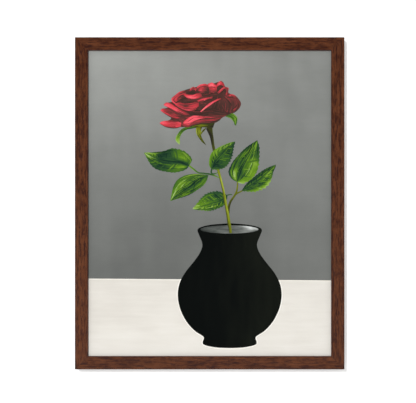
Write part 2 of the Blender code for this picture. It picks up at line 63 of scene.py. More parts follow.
MM = 0.001
SIDES = ("top", "right", "bottom", "left")
RAIL_BOXES = {side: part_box(f"frame_rail_{side}") for side in SIDES}
OUTER_HALF_X = RAIL_BOXES["right"][1].x
OUTER_HALF_Z = (RAIL_BOXES["top"][1].z - RAIL_BOXES["bottom"][0].z) / 2
SIGHT_HALF_X = RAIL_BOXES["right"][0].x
SIGHT_HALF_Z = OUTER_HALF_Z - (OUTER_HALF_X - SIGHT_HALF_X)
CENTRE_Z = RAIL_BOXES["top"][1].z - OUTER_HALF_Z
FRAME_FRONT_Y = RAIL_BOXES["top"][0].y
GROUND_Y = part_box("painted_backdrop")[0].y + 0.0001  # face of the backdrop, which other paint lies on
THREADS = 0.00075  # from one thread of the canvas to the next

# Light that falls on the front: the paints' colours are worked out for it
FRONT_LIGHT = 1.05
PAINT_GLOSS = 0.010  # what a paint film's own gloss adds
MITRE_GLUE = 0.0003  # from rail to rail


# Colours


def linear(value):
    share = value / 255
    return share / 12.92 if share <= 0.04045 else ((share + 0.055) / 1.055) ** 2.4


def seen(red, green, blue, gloss=PAINT_GLOSS):
    """The paint that shows as this colour under the scene's light."""
    return tuple(max(linear(value) / FRONT_LIGHT - gloss, 0.0008) for value in (red, green, blue))


def shades(*stops):
    """Stops of a colour ramp, each a place and the colour that it shows as."""
    return [(place, seen(*colour)) for place, *colour in stops]


# Materials


class Finish:
    """One Principled shader and the nodes that feed it."""

    def __init__(self, name, **sockets):
        self.material = bpy.data.materials.new(name)
        self.material.use_nodes = True
        self.tree = self.material.node_tree
        self.shader = self.tree.nodes["Principled BSDF"]
        for socket, value in sockets.items():
            self.shader.inputs[socket.replace("_", " ")].default_value = value

    def node(self, kind, inputs=None, **settings):
        made = self.tree.nodes.new(kind)
        for name, value in settings.items():
            setattr(made, name, value)
        for name, value in (inputs or {}).items():
            if isinstance(value, bpy.types.NodeSocket):
                self.tree.links.new(value, made.inputs[name])
            else:
                made.inputs[name].default_value = value
        return made

    def place(self):
        return self.node("ShaderNodeTexCoord").outputs["Object"]

    def stroke(self):
        return self.node("ShaderNodeUVMap", uv_map="stroke").outputs["UV"]

    def attribute(self, name):
        return self.node("ShaderNodeAttribute", attribute_name=name).outputs["Fac"]

    def scaled(self, vector, scale, offset=(0, 0, 0)):
        inputs = {"Vector": vector, "Scale": scale, "Location": offset}
        return self.node("ShaderNodeMapping", inputs).outputs["Vector"]

    def noise(self, vector, scale=1.0, detail=3.0, roughness=0.5, distortion=0.0):
        inputs = {
            "Vector": vector, "Scale": scale, "Detail": detail, "Roughness": roughness,
            "Distortion": distortion,
        }
        return self.node("ShaderNodeTexNoise", inputs).outputs["Fac"]

    def math(self, operation, first, second=0.0, third=0.0):
        inputs = {0: first, 1: second, 2: third}
        return self.node("ShaderNodeMath", inputs, operation=operation).outputs[0]

    def span(self, value, low, high, to_low=0.0, to_high=1.0):
        inputs = {
            "Value": value, "From Min": low, "From Max": high, "To Min": to_low, "To Max": to_high,
        }
        return self.node("ShaderNodeMapRange", inputs).outputs["Result"]

    def axis(self, vector, name):
        return self.node("ShaderNodeSeparateXYZ", {0: vector}).outputs[name]

    def ramp(self, value, stops):
        made = self.node("ShaderNodeValToRGB", {"Fac": value})
        elements = made.color_ramp.elements
        elements.remove(elements[1])
        for i, (position, colour) in enumerate(stops):
            element = elements[0] if i == 0 else elements.new(position)
            element.position = position
            element.color = (*colour, 1.0)
        return made.outputs["Color"]

    def mix(self, share, first, second):
        colours = [c if isinstance(c, bpy.types.NodeSocket) else (*c, 1.0) for c in (first, second)]
        inputs = {0: share, 6: colours[0], 7: colours[1]}
        return self.node("ShaderNodeMix", inputs, data_type="RGBA").outputs[2]

    def over(self, under, mask, share, top):
        """The top colour laid over the one under it, this strongly, where the mask is 1."""
        return self.mix(self.math("MULTIPLY", mask, share), under, top)

    def total(self, *parts):
        """The sum of (value, weight) pairs."""
        found = 0.0
        for value, weight in parts:
            found = self.math("MULTIPLY_ADD", value, weight, found)
        return found

    def bump(self, height, distance, strength=1.0, under=None):
        inputs = {"Height": height, "Distance": distance, "Strength": strength}
        if under is not None:
            inputs["Normal"] = under
        return self.node("ShaderNodeBump", inputs).outputs["Normal"]

    def feed(self, **sockets):
        for socket, value in sockets.items():
            self.tree.links.new(value, self.shader.inputs[socket.replace("_", " ")])
        return self.material


WALNUT = shades(
    (0.0, 38, 17, 11), (0.28, 70, 38, 24), (0.5, 91, 52, 34), (0.72, 110, 65, 43), (1.0, 138, 90, 64),
)
RAW_WALNUT = shades((0.0, 74, 52, 38), (0.5, 122, 92, 70), (1.0, 152, 122, 96))
PINE = shades((0.0, 168, 118, 70), (0.35, 203, 160, 108), (0.65, 222, 186, 136), (1.0, 236, 208, 164))
BEECH = shades((0.0, 172, 122, 86), (0.5, 206, 164, 124), (1.0, 224, 188, 150))


def grain_vector(finish, level):
    """Coordinates that run slowly along a bar and fast across it."""
    return finish.scaled(finish.place(), (0.045, 1, 1) if level else (1, 1, 0.045))


def edge_share(finish, level, half, near):
    """0 inside a side of the frame, 1 on the line that is half away from the picture's middle."""
    place = finish.scaled(finish.place(), (1, 1, 1), (0, 0, -CENTRE_Z))
    away = finish.math("ABSOLUTE", finish.axis(place, "Z" if level else "X"))
    gap = finish.math("ABSOLUTE", finish.math("SUBTRACT", away, half))
    return finish.span(gap, 0.0, near, 1.0, 0.0)


def walnut(name, level):
    finish = Finish(name, Coat_Weight=0.12, Coat_Roughness=0.32, Specular_IOR_Level=0.32)
    vector = grain_vector(finish, level)
    place = finish.place()
    figure = finish.noise(vector, 55, 4, 0.6, 0.6)
    lines = finish.noise(vector, 420, 5, 0.62, 0.2)
    fine = finish.noise(vector, 1500, 2, 0.6)
    short = finish.scaled(place, (0.15, 1, 1) if level else (1, 1, 0.15))
    dashes = finish.noise(short, 480, 3, 0.8)
    mottle = finish.noise(place, 95, 3, 0.55)
    tone = finish.total((figure, 0.40), (lines, 0.75), (fine, 0.30), (mottle, 0.40), (dashes, 1.10))
    tone = finish.span(tone, 1.13, 1.82)
    colour = finish.ramp(tone, WALNUT)
    dark = finish.span(dashes, 0.52, 0.58)
    light = finish.span(dashes, 0.49, 0.41)
    colour = finish.over(colour, light, 0.55, seen(118, 70, 45))
    colour = finish.over(colour, dark, 0.85, seen(48, 23, 15))
    pores = finish.span(finish.noise(vector, 2300, 2, 0.5), 0.60, 0.72)
    colour = finish.over(colour, pores, 0.62, seen(30, 14, 9))
    flecks = finish.span(finish.noise(finish.scaled(place, (1, 1, 1), (3.1, 0, 1.7)), 46, 2), 0.71, 0.80)
    colour = finish.over(colour, flecks, 0.7, seen(36, 16, 10))
    outer = edge_share(finish, level, OUTER_HALF_Z if level else OUTER_HALF_X, 0.0016)
    sight = edge_share(finish, level, SIGHT_HALF_Z if level else SIGHT_HALF_X, 0.0016)
    colour = finish.over(colour, outer, 0.45, seen(44, 22, 14))
    colour = finish.over(colour, sight, 0.42, seen(60, 24, 16))
    raw = finish.span(finish.axis(place, "Y"), -0.0007, -0.0001)
    bare = finish.ramp(tone, RAW_WALNUT)
    bare = finish.over(bare, pores, 0.5, seen(64, 42, 30))
    colour = finish.mix(raw, colour, bare)
    rough = finish.span(finish.noise(place, 260, 3), 0.3, 0.7, 0.36, 0.56)
    rough = finish.math("MULTIPLY_ADD", raw, 0.28, rough)
    normal = finish.bump(finish.math("SUBTRACT", lines, finish.math("MULTIPLY", pores, 0.9)), 0.00022, 0.5)
    normal = finish.bump(fine, 0.00012, 0.35, normal)
    return finish.feed(Base_Color=colour, Roughness=rough, Normal=normal)


def pale_wood(name, stops, level, ring_scale, flecks):
    """Pine or beech as it comes from the plane: growth lines, fibres and pencil-fine pores."""
    finish = Finish(name, Specular_IOR_Level=0.25)
    vector = grain_vector(finish, level)
    place = finish.place()
    bend = finish.noise(vector, 26, 3, 0.5, 0.4)
    rings = finish.math("SINE", finish.math("MULTIPLY", bend, ring_scale))
    fibres = finish.noise(vector, 900, 4, 0.65)
    mottle = finish.noise(place, 60, 3)
    tone = finish.total((rings, 0.20), (fibres, 0.7), (mottle, 0.5))
    colour = finish.ramp(finish.span(tone, 0.25, 1.0), stops)
    dots = finish.span(finish.noise(vector, 1900, 1, 0.5), 0.64, 0.70)
    colour = finish.mix(finish.math("MULTIPLY", dots, flecks), colour, stops[0][1])
    knot = finish.node("ShaderNodeTexVoronoi", {"Vector": place, "Scale": 9.0}).outputs["Distance"]
    knot = finish.span(knot, 0.045, 0.012)
    colour = finish.over(colour, knot, 0.75, seen(112, 66, 36))
    rough = finish.span(finish.noise(place, 300, 2), 0.3, 0.7, 0.56, 0.76)
    normal = finish.bump(fibres, 0.0002, 0.45)
    return finish.feed(Base_Color=colour, Roughness=rough, Normal=normal)


def metal(name, colour, tarnish, rough_low, rough_high):
    """Plated sheet or wire: fine drawn lines, faint blotches and a few dull spots."""
    finish = Finish(name, Metallic=1.0)
    place = finish.place()
    drawn = finish.noise(finish.scaled(place, (900, 900, 5200)), 1, 3, 0.6)
    blotch = finish.noise(place, 330, 4, 0.6)
    spots = finish.span(finish.noise(place, 1500, 2), 0.62, 0.74)
    shade = finish.mix(finish.span(blotch, 0.35, 0.7), colour, tarnish)
    shade = finish.over(shade, spots, 0.35, tarnish)
    rough = finish.span(blotch, 0.3, 0.7, rough_low, rough_high)
    rough = finish.math("MULTIPLY_ADD", spots, 0.15, rough)
    normal = finish.bump(drawn, 0.00003, 0.35)
    return finish.feed(Base_Color=shade, Roughness=rough, Normal=normal)


def rubber(name):
    finish = Finish(name, Specular_IOR_Level=0.35)
    place = finish.place()
    dust = finish.span(finish.noise(place, 700, 4, 0.6), 0.45, 0.75)
    colour = finish.mix(dust, (0.018, 0.018, 0.017), (0.055, 0.053, 0.050))
    rough = finish.span(dust, 0.0, 1.0, 0.55, 0.85)
    normal = finish.bump(finish.noise(place, 2600, 3), 0.00006, 0.6)
    return finish.feed(Base_Color=colour, Roughness=rough, Normal=normal)


def weave(finish):
    """Height of the canvas's plain weave: 0 between threads, 1 on top of one."""
    place = finish.place()
    wobble = finish.noise(place, 160, 2)
    waves = []
    for axis in ("X", "Z"):
        along = finish.math("MULTIPLY", finish.axis(place, axis), math.pi / THREADS)
        waves.append(finish.math("SINE", finish.math("MULTIPLY_ADD", wobble, 2.2, along)))
    crossing = finish.math("MULTIPLY", waves[0], waves[1])
    over = [finish.math("MULTIPLY", finish.math("ABSOLUTE", wave), 0.5) for wave in waves]
    height = finish.math("ADD", over[0], over[1])
    return finish.math("MULTIPLY_ADD", crossing, 0.25, height)


def raw_cloth(name):
    finish = Finish(name, Sheen_Weight=0.15, Specular_IOR_Level=0.15)
    place = finish.place()
    threads = weave(finish)
    slubs = finish.noise(finish.scaled(place, (70, 70, 900)), 1, 3)
    slubs_across = finish.noise(finish.scaled(place, (900, 70, 70)), 1, 3)
    tone = finish.total((threads, 0.45), (slubs, 0.35), (slubs_across, 0.35))
    stops = shades((0.0, 132, 112, 84), (0.5, 198, 182, 152), (1.0, 226, 214, 188))
    colour = finish.ramp(finish.span(tone, 0.15, 0.95), stops)
    stain = finish.span(finish.noise(place, 9, 4, 0.6), 0.50, 0.72)
    colour = finish.over(colour, stain, 0.22, seen(170, 146, 108))
    specks = finish.span(finish.noise(place, 620, 1), 0.76, 0.80)
    colour = finish.over(colour, specks, 0.6, seen(92, 70, 46))
    rough = finish.span(threads, 0.0, 1.0, 0.95, 0.78)
    normal = finish.bump(threads, 0.0003, 0.7)
    return finish.feed(Base_Color=colour, Roughness=rough, Normal=normal)


def primed_cloth(name):
    """The primed side: the weave still shows through the white ground, which is dirtier in places."""
    finish = Finish(name, Specular_IOR_Level=0.2)
    place = finish.place()
    threads = weave(finish)
    tone = finish.math("MULTIPLY_ADD", threads, 0.3, finish.noise(place, 70, 4, 0.6))
    stops = shades((0.0, 206, 200, 186), (0.5, 228, 225, 216), (1.0, 238, 236, 230))
    colour = finish.ramp(finish.span(tone, 0.3, 1.0), stops)
    marks = finish.span(finish.noise(place, 38, 3), 0.60, 0.78)
    colour = finish.over(colour, marks, 0.25, seen(176, 166, 146))
    rough = finish.span(tone, 0.3, 1.0, 0.85, 0.66)
    normal = finish.bump(threads, 0.0003, 0.35)
    return finish.feed(Base_Color=colour, Roughness=rough, Normal=normal)


def paint(name, stops, streaks, along, across, relief, rough, specular=0.22, blotch=0.0):
    """Brushed paint: a colour ramp over the film's own tone, broken up along its strokes."""
    finish = Finish(name, Specular_IOR_Level=specular)
    stroke = finish.stroke()
    hairs = finish.noise(finish.scaled(stroke, (along, across, 1)), 1, 4, 0.62, 0.3)
    broad = finish.noise(finish.scaled(stroke, (along * 0.8, across * 0.28, 1), (5, 9, 0)), 1, 3, 0.5, 0.5)
    tone = finish.attribute("tone")
    tone = finish.math("MULTIPLY_ADD", finish.math("SUBTRACT", hairs, 0.5), streaks, tone)
    tone = finish.math("MULTIPLY_ADD", finish.math("SUBTRACT", broad, 0.5), streaks * 1.1, tone)
    if blotch:
        cloud = finish.noise(finish.place(), 26, 4, 0.55, 0.4)
        tone = finish.math("MULTIPLY_ADD", finish.math("SUBTRACT", cloud, 0.5), blotch, tone)
    colour = finish.ramp(tone, stops)
    shine = finish.span(broad, 0.3, 0.7, rough - 0.07, rough + 0.09)
    normal = finish.bump(hairs, relief, 0.55)
    normal = finish.bump(weave(finish), 0.00007, 0.25, normal)
    return finish.feed(Base_Color=colour, Roughness=shine, Normal=normal)


ROSE_RED = shades(
    (0.0, 64, 52, 47), (0.18, 90, 58, 54), (0.32, 124, 60, 60), (0.5, 172, 60, 66), (0.65, 208, 68, 76),
    (0.78, 233, 82, 94), (0.9, 250, 104, 116), (1.0, 252, 146, 134),
)
LEAF_GREEN = shades(
    (0.0, 30, 52, 42), (0.15, 43, 72, 49), (0.3, 60, 95, 46), (0.45, 80, 119, 38), (0.6, 104, 144, 40),
    (0.75, 134, 168, 66), (0.88, 166, 196, 124), (1.0, 216, 228, 204),
)
STEM_GREEN = shades(
    (0.0, 48, 46, 38), (0.22, 70, 74, 36), (0.5, 112, 120, 30), (0.75, 148, 160, 52),
    (1.0, 190, 202, 110),
)
BACKDROP_GREY = shades((0.0, 88, 90, 88), (0.5, 132, 134, 131), (1.0, 176, 178, 174))
TABLE_WHITE = shades((0.0, 205, 199, 190), (0.6, 231, 227, 219), (1.0, 243, 240, 234))
VASE_BLACK = shades((0.0, 2, 6, 6, 0), (0.5, 11, 14, 13, 0), (1.0, 31, 34, 27, 0.001))
MOUTH_GREY = shades((0.0, 40, 43, 42), (0.35, 82, 86, 83), (0.7, 134, 138, 134), (1.0, 222, 226, 224))
HALO_CREAM = shades((0.0, 228, 221, 206), (1.0, 252, 249, 242))


# Curves and films of paint

# How far each film stands out from the backdrop: what is painted later lies on what came first
FAR_EDGE_LIFT = 0.00003
HALO_LIFT = 0.00004
BRANCH_LIFT = 0.00006
VASE_LIFT = 0.00007
STEM_LIFT = 0.00010
SEPAL_LIFT = 0.00012
ROSE_LIFT = 0.00013
MOUTH_LIFT = 0.00014
LEAF_LIFT = 0.00017
CALYX_LIFT = 0.00018
STEM_OVER_LEAF = 0.00018  # what the stem gains where it crosses the lowest leaf and the vase's mouth
GROUND_FILM = 0.0002  # thickness of the backdrop and the tabletop
DAB_FILM = 0.00006
EASED = 0.00001  # how far the hidden face of a film lies off the backdrop's face

# Rows and columns of points in each film: across its strokes, and along them
BACKDROP_GRID = 116, 126
TABLETOP_GRID = 56, 134
FAR_EDGE_GRID = 4, 120
VASE_GRID = 90, 60
HALO_GRID = 5, 330
MOUTH_GRID = 15, 70
STEM_GRID = 11, 220
BRANCH_GRID = 7, 60
SEPAL_GRID = 13, 50
LEAF_GRID = 41, 84


def through(points, count):
    """So many evenly spaced points along a smooth curve."""
    given = np.array(points, float)
    if len(given) == 2:
        return given[0] + np.linspace(0, 1, count)[:, None] * (given[1] - given[0])
    padded = np.vstack([2 * given[0] - given[1], given, 2 * given[-1] - given[-2]])
    fine = []
    for i in range(1, len(padded) - 2):
        a, b, c, d = padded[i - 1 : i + 3]
        t = np.linspace(0, 1, 16, endpoint=False)[:, None]
        square, cube = 2 * a - 5 * b + 4 * c - d, 3 * b - a - 3 * c + d
        fine.append(0.5 * (2 * b + (c - a) * t + square * t**2 + cube * t**3))
    fine = np.vstack([*fine, given[-1:]])
    steps = np.linalg.norm(np.diff(fine[:, :2], axis=0), axis=1)
    length = np.concatenate([[0], np.cumsum(steps)])
    wanted = np.linspace(0, length[-1], count)
    return np.stack([np.interp(wanted, length, fine[:, k]) for k in range(fine.shape[1])], 1)


def ruled(curves, across, along):
    """Rows of points from the first curve to the last, through those between."""
    lines = np.array([through(curve, along) for curve in curves])
    share = np.linspace(0, len(lines) - 1, across)
    low = np.minimum(share.astype(int), len(lines) - 2)
    part = (share - low)[:, None, None]
    return lines[low] * (1 - part) + lines[low + 1] * part


def spread(table, across, along):
    """A small table of tones in hundredths, drawn out over rows of points."""
    ends = np.linspace(0, 1, along)
    rows = np.array([np.interp(ends, np.linspace(0, 1, len(row)), np.array(row) / 100) for row in table])
    place = np.linspace(0, 1, across)
    stops = np.linspace(0, 1, len(rows))
    return np.stack([np.interp(place, stops, rows[:, j]) for j in range(along)], 1)


def strokes_of(flat, seed):
    """Metric lengths along and across rows of points, starting at a place of their own."""
    start = random.Random(seed)
    along = np.linalg.norm(np.diff(flat, axis=1), axis=2)
    across = np.linalg.norm(np.diff(flat, axis=0), axis=2)
    u = np.concatenate([np.zeros((len(flat), 1)), np.cumsum(along, axis=1)], axis=1)
    v = np.concatenate([np.zeros((1, flat.shape[1])), np.cumsum(across, axis=0)], axis=0)
    v = np.repeat(v.mean(axis=1, keepdims=True), flat.shape[1], axis=1)
    return np.stack([u + start.uniform(0, 900), v + start.uniform(0, 900)], 2) * MM


def layer(flat, tones, lift, height=0.0, seed=0, thickness=None):
    """A closed grid of paint. flat holds rows of (right, up), lift is how far it stands out from the
    backdrop, and height what stands out further at each point."""
    rows, columns = flat.shape[:2]
    points = np.empty((2, rows, columns, 3))
    points[..., 0] = flat[..., 0] * MM
    points[..., 2] = flat[..., 1] * MM + CENTRE_Z
    points[0, ..., 1] = GROUND_Y - lift - height
    points[1, ..., 1] = GROUND_Y - (EASED if thickness is None else lift - thickness)
    stroke = np.tile(strokes_of(flat, seed).reshape(-1, 2), (2, 1))
    return points.reshape(-1, 3), closed_faces(rows, columns), np.tile(tones.ravel(), 2), stroke


def rim_of(rows, columns):
    """Indices of a grid's points, once round its edge."""
    index = np.arange(rows * columns).reshape(rows, columns)
    return np.concatenate([index[0, :-1], index[:-1, -1], index[-1, :0:-1], index[:0:-1, 0]])


def bridge(first, second):
    """Faces from one ring of points to the next."""
    return np.stack([first, second, np.roll(second, -1), np.roll(first, -1)], -1)


def grid_faces(rows, columns):
    index = np.arange(rows * columns).reshape(rows, columns)
    return np.stack([index[:-1, :-1], index[:-1, 1:], index[1:, 1:], index[1:, :-1]], -1).reshape(-1, 4)


def closed_faces(rows, columns):
    """Faces of two grids of points that lie on each other, and of the rim between them."""
    count = rows * columns
    quads, rim = grid_faces(rows, columns), rim_of(rows, columns)
    return np.concatenate([quads, quads[:, ::-1] + count, bridge(rim, rim + count)])


def film(name, layers, finish):
    """One piece from one or more layers of paint."""
    starts = np.cumsum([0] + [len(points) for points, *_ in layers])
    points = np.concatenate([found[0] for found in layers])
    faces = np.concatenate([found[1] + start for found, start in zip(layers, starts)])
    tones = np.concatenate([found[2] for found in layers])
    strokes = np.concatenate([found[3] for found in layers])
    mesh = bpy.data.meshes.new(name)
    mesh.from_pydata(points.tolist(), [], faces.tolist())
    corners = np.empty(len(mesh.loops), np.int32)
    mesh.loops.foreach_get("vertex_index", corners)
    mesh.uv_layers.new(name="stroke").data.foreach_set("uv", strokes[corners].astype(np.float32).ravel())
    mesh.attributes.new("tone", "FLOAT", "POINT").data.foreach_set("value", tones.astype(np.float32))
    return piece(name, mesh, finish)


def add(name, data):
    obj = bpy.data.objects.new(name, data)
    bpy.context.scene.collection.objects.link(obj)
    return obj


def piece(name, mesh, *finishes):
    """A smooth-shaded object that rides with the canvas, its normals turned outwards."""
    data = bmesh.new()
    data.from_mesh(mesh)
    bmesh.ops.recalc_face_normals(data, faces=data.faces)
    data.to_mesh(mesh)
    data.free()
    mesh.shade_smooth()
    mesh.set_sharp_from_angle(angle=math.radians(40))
    for finish in finishes:
        mesh.materials.append(finish)
    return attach(add(name, mesh), "framed_canvas")


def ripple(flat, size, seed):
    """Smooth noise over rows of points, about -1 to 1, with bumps this many millimetres across."""
    rows, columns = flat.shape[:2]
    found = [noise.noise(Vector((x / size[0], z / size[1], seed))) for x, z in flat.reshape(-1, 2)]
    return np.array(found).reshape(rows, columns) * 1.6


def crown(rows, columns, power=0.6):
    """1 in the middle of a film and 0 on its rim."""
    v = np.sin(np.linspace(0, math.pi, rows)) ** power
    u = np.sin(np.linspace(0, math.pi, columns)) ** power
    return v[:, None] * np.minimum(u[None, :] * 3, 1)


def ribbon(spine, across, along):
    """Rows along a spine of (right, up, half width), from its left side to its right."""
    line = through(spine, along)
    ahead = np.gradient(line[:, :2], axis=0)
    side = np.stack([-ahead[:, 1], ahead[:, 0]], 1)
    side /= np.linalg.norm(side, axis=1, keepdims=True)
    share = np.linspace(1, -1, across)[:, None, None]
    return line[None, :, :2] + share * (side * line[:, 2:3])[None]


def sample(grid, row, column):
    """A grid's value at a place between its points."""
    row = min(max(row, 0.0), len(grid) - 1.001)
    column = min(max(column, 0.0), grid.shape[1] - 1.001)
    i, j = int(row), int(column)
    u, v = row - i, column - j
    upper = grid[i, j] * (1 - v) + grid[i, j + 1] * v
    lower = grid[i + 1, j] * (1 - v) + grid[i + 1, j + 1] * v
    return upper * (1 - u) + lower * u


def dab(ground, path, width, shift, lift):
    """A thin stroke over a film. The path runs through its (row, column) places, and the stroke's
    tone is the film's own, shifted."""
    flat, tones = ground
    places = np.array([sample(flat, *place) for place in path])
    taper = np.sin(np.linspace(0.12, math.pi - 0.12, len(path)))
    spine = np.column_stack([places, width / 2 * taper])
    length = np.linalg.norm(np.diff(places, axis=0), axis=1).sum()
    along = int(np.clip(length / 1.1, 6, 26))
    line = ribbon(spine, 4, along)
    own = np.interp(
        np.linspace(0, 1, along), np.linspace(0, 1, len(path)), [sample(tones, *place) for place in path]
    )
    own = np.clip(own + shift, 0.0, np.maximum(own, 0.84))
    height = 0.00001 * crown(4, along)
    return layer(line, np.tile(own, (4, 1)), lift, height, int(length * 999), DAB_FILM)


def strokes_along(ground, lift, draw, count, widths):
    """Strokes that follow a film from end to end, lighter and darker than what they lie on."""
    rows, columns = ground[1].shape
    found = []
    for _ in range(count):
        row = draw.uniform(0.06, 0.94)
        begin = draw.uniform(0.02, 0.70)
        reach = draw.uniform(0.18, 0.50)
        drift = draw.uniform(-0.10, 0.10)
        path = []
        for share in np.linspace(0, 1, 6):
            place = min(max(row + drift * share, 0.04), 0.96)
            path.append((place * (rows - 1), min(begin + reach * share, 0.98) * (columns - 1)))
        shift = draw.choice((-0.34, -0.26, -0.20, -0.14, 0.10, 0.14, 0.20, 0.28))
        found.append(dab(ground, path, draw.uniform(*widths), shift, lift))
    return found


# The picture


def edges_at(node, height):
    """How far left and right a flat CAD piece reaches at this height, in millimetres."""
    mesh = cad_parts[node].data
    level = height * MM + CENTRE_Z
    found = []
    for edge in mesh.edges:
        a, b = (mesh.vertices[v].co for v in edge.vertices)
        if (a.z - level) * (b.z - level) <= 0 and a.z != b.z:
            found.append((a.x + (b.x - a.x) * (level - a.z) / (b.z - a.z)) / MM)
    return min(found), max(found)


def picture_box(node):
    """A flat CAD piece's left, right, bottom and top in the picture, in millimetres."""
    low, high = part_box(node)
    return low.x / MM, high.x / MM, (low.z - CENTRE_Z) / MM, (high.z - CENTRE_Z) / MM


def across_piece(node, heights, shares, margin=0.0):
    """Rows of points at these heights, at shares of the way from the piece's left edge to its right."""
    sides = np.array([edges_at(node, z) for z in heights])
    x = (sides[:, :1] + margin) * (1 - shares) + (sides[:, 1:] - margin) * shares
    return np.stack([x, np.repeat(heights[:, None], len(shares), axis=1)], 2)


def horizon():
    """Height of the table's far edge at the left and the right, in millimetres."""
    tops = {}
    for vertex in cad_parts["painted_tabletop"].data.vertices:
        side = vertex.co.x > 0
        tops[side] = max(tops.get(side, -1.0e9), (vertex.co.z - CENTRE_Z) / MM)
    return tops[False], tops[True]


def make_backdrop():
    left, right, _, top = picture_box("painted_backdrop")
    far_left, far_right = horizon()
    grey = paint("backdrop_paint", BACKDROP_GREY, 0.045, 26, 190, 0.00012, 0.58, 0.2, 0.10)
    flat = ruled([[(left, top), (right, top)], [(left, far_left), (right, far_right)]], *BACKDROP_GRID)
    tones = spread(
        [
            (79, 75, 71, 65, 57, 59), (71, 67, 63, 58, 51, 54), (57, 54, 51, 49, 49, 53),
            (46, 39, 37, 38, 42, 46), (32, 26, 24, 26, 31, 37), (25, 21, 21, 23, 31, 35),
        ],
        *BACKDROP_GRID,
    )
    tones = tones + 0.018 * ripple(flat, (18, 80), 3.0) + 0.03 * ripple(flat, (50, 42), 8.0)
    relief = 0.000012 * ripple(flat, (5, 17), 1.0)
    backdrop = film("backdrop", [layer(flat, tones, 0.0, relief, "backdrop", GROUND_FILM)], grey)
    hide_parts("painted_backdrop")


def make_tabletop():
    """The pale tabletop, and the light line that its far edge ends in."""
    left, right, bottom, _ = picture_box("painted_tabletop")
    far_left, far_right = horizon()
    white = paint("tabletop_paint", TABLE_WHITE, 0.22, 24, 260, 0.00014, 0.55, 0.2, 0.10)
    ends = [[(left, far_left), (right, far_right)], [(left, bottom), (right, bottom)]]
    flat = ruled(ends, *TABLETOP_GRID)
    tones = spread([(42, 46, 54, 60), (50, 56, 60, 64), (74, 72, 70, 70)], *TABLETOP_GRID)
    tones = tones + 0.06 * ripple(flat, (90, 7), 5.0) + 0.05 * ripple(flat, (40, 30), 2.0)
    relief = 0.000012 * ripple(flat, (26, 4), 6.0)
    tabletop = film("tabletop", [layer(flat, tones, 0.0, relief, "tabletop", GROUND_FILM)], white)
    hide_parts("painted_tabletop")
    far_edge = ribbon([(left, far_left - 0.9, 0.8), (right, far_right - 0.9, 0.8)], *FAR_EDGE_GRID)
    cream = paint("far_edge_paint", HALO_CREAM, 0.9, 60, 420, 0.0001, 0.55)
    ground = layer(far_edge, np.full(FAR_EDGE_GRID, 0.55), FAR_EDGE_LIFT)
    line = film("tabletop_far_edge", [ground], cream)
    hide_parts("painted_tabletop")


def make_vase():
    _, _, bottom, top = picture_box("painted_vase")
    black = paint("vase_paint", VASE_BLACK, 0.12, 220, 30, 0.00010, 0.55, 0.04)
    rows, columns = VASE_GRID
    heights = top - (top - bottom) * (1 - np.cos(np.linspace(0.02, math.pi - 0.02, rows))) / 2
    flat = across_piece("painted_vase", heights, (1 - np.cos(np.linspace(0, math.pi, columns))) / 2)
    tones = spread([(42, 46, 52, 62, 74, 62), (40, 44, 50, 58, 72, 58)], *VASE_GRID)
    tones = tones + 0.05 * ripple(flat, (9, 60), 4.0)
    relief = 0.00005 * crown(*VASE_GRID) + 0.000008 * ripple(flat, (4, 30), 2.0)
    vase = film("vase", [layer(flat, tones, VASE_LIFT, relief, "vase")], black)
    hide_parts("painted_vase")


def make_halo():
    """The thin light line left round the vase where it stands before the tabletop."""
    left, right, bottom, _ = picture_box("painted_vase")
    middle = (left + right) / 2
    cream = paint("halo_paint", HALO_CREAM, 0.7, 60, 420, 0.0001, 0.55)
    down, up = (
        [(edges_at("painted_vase", z)[side], z) for z in np.linspace(far - 1.5, bottom + 2.0, 70)]
        for side, far in enumerate(horizon())
    )
    round_vase = down + [(middle - 15, bottom - 0.2), (middle + 15, bottom - 0.2)] + up[::-1]
    spine = [(x, z, 1.5) for x, z in round_vase]
    ground = layer(ribbon(spine, *HALO_GRID), np.full(HALO_GRID, 0.85), HALO_LIFT)
    halo = film("vase_halo", [ground], cream)


def make_vase_mouth():
    left, right, bottom, top = picture_box("painted_vase_mouth")
    x, z = (left + right) / 2, (bottom + top) / 2
    wide, tall = (right - left) / 2 - 0.9, (top - bottom) / 2 - 0.7
    turn = np.linspace(math.pi - 0.12, 0.12, 60)
    upper = [(x + wide * math.cos(a), z + tall * math.sin(a)) for a in turn]
    lower = [(x + wide * math.cos(a), z - tall * math.sin(a)) for a in turn]
    flat = ruled([upper, lower], *MOUTH_GRID)
    tones = spread(
        [
            (14, 26, 40, 40, 50, 80, 100, 60), (16, 34, 34, 36, 40, 50, 96, 80),
            (10, 30, 46, 40, 40, 56, 70, 50), (10, 16, 34, 52, 56, 60, 44, 20),
        ],
        *MOUTH_GRID,
    )
    grey = paint("mouth_paint", MOUTH_GREY, 0.45, 60, 500, 0.00012, 0.5)
    ground = layer(flat, tones, MOUTH_LIFT, 0.00003 * crown(*MOUTH_GRID), "mouth")
    mouth = film("vase_mouth", [ground], grey)
    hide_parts("painted_vase_mouth")


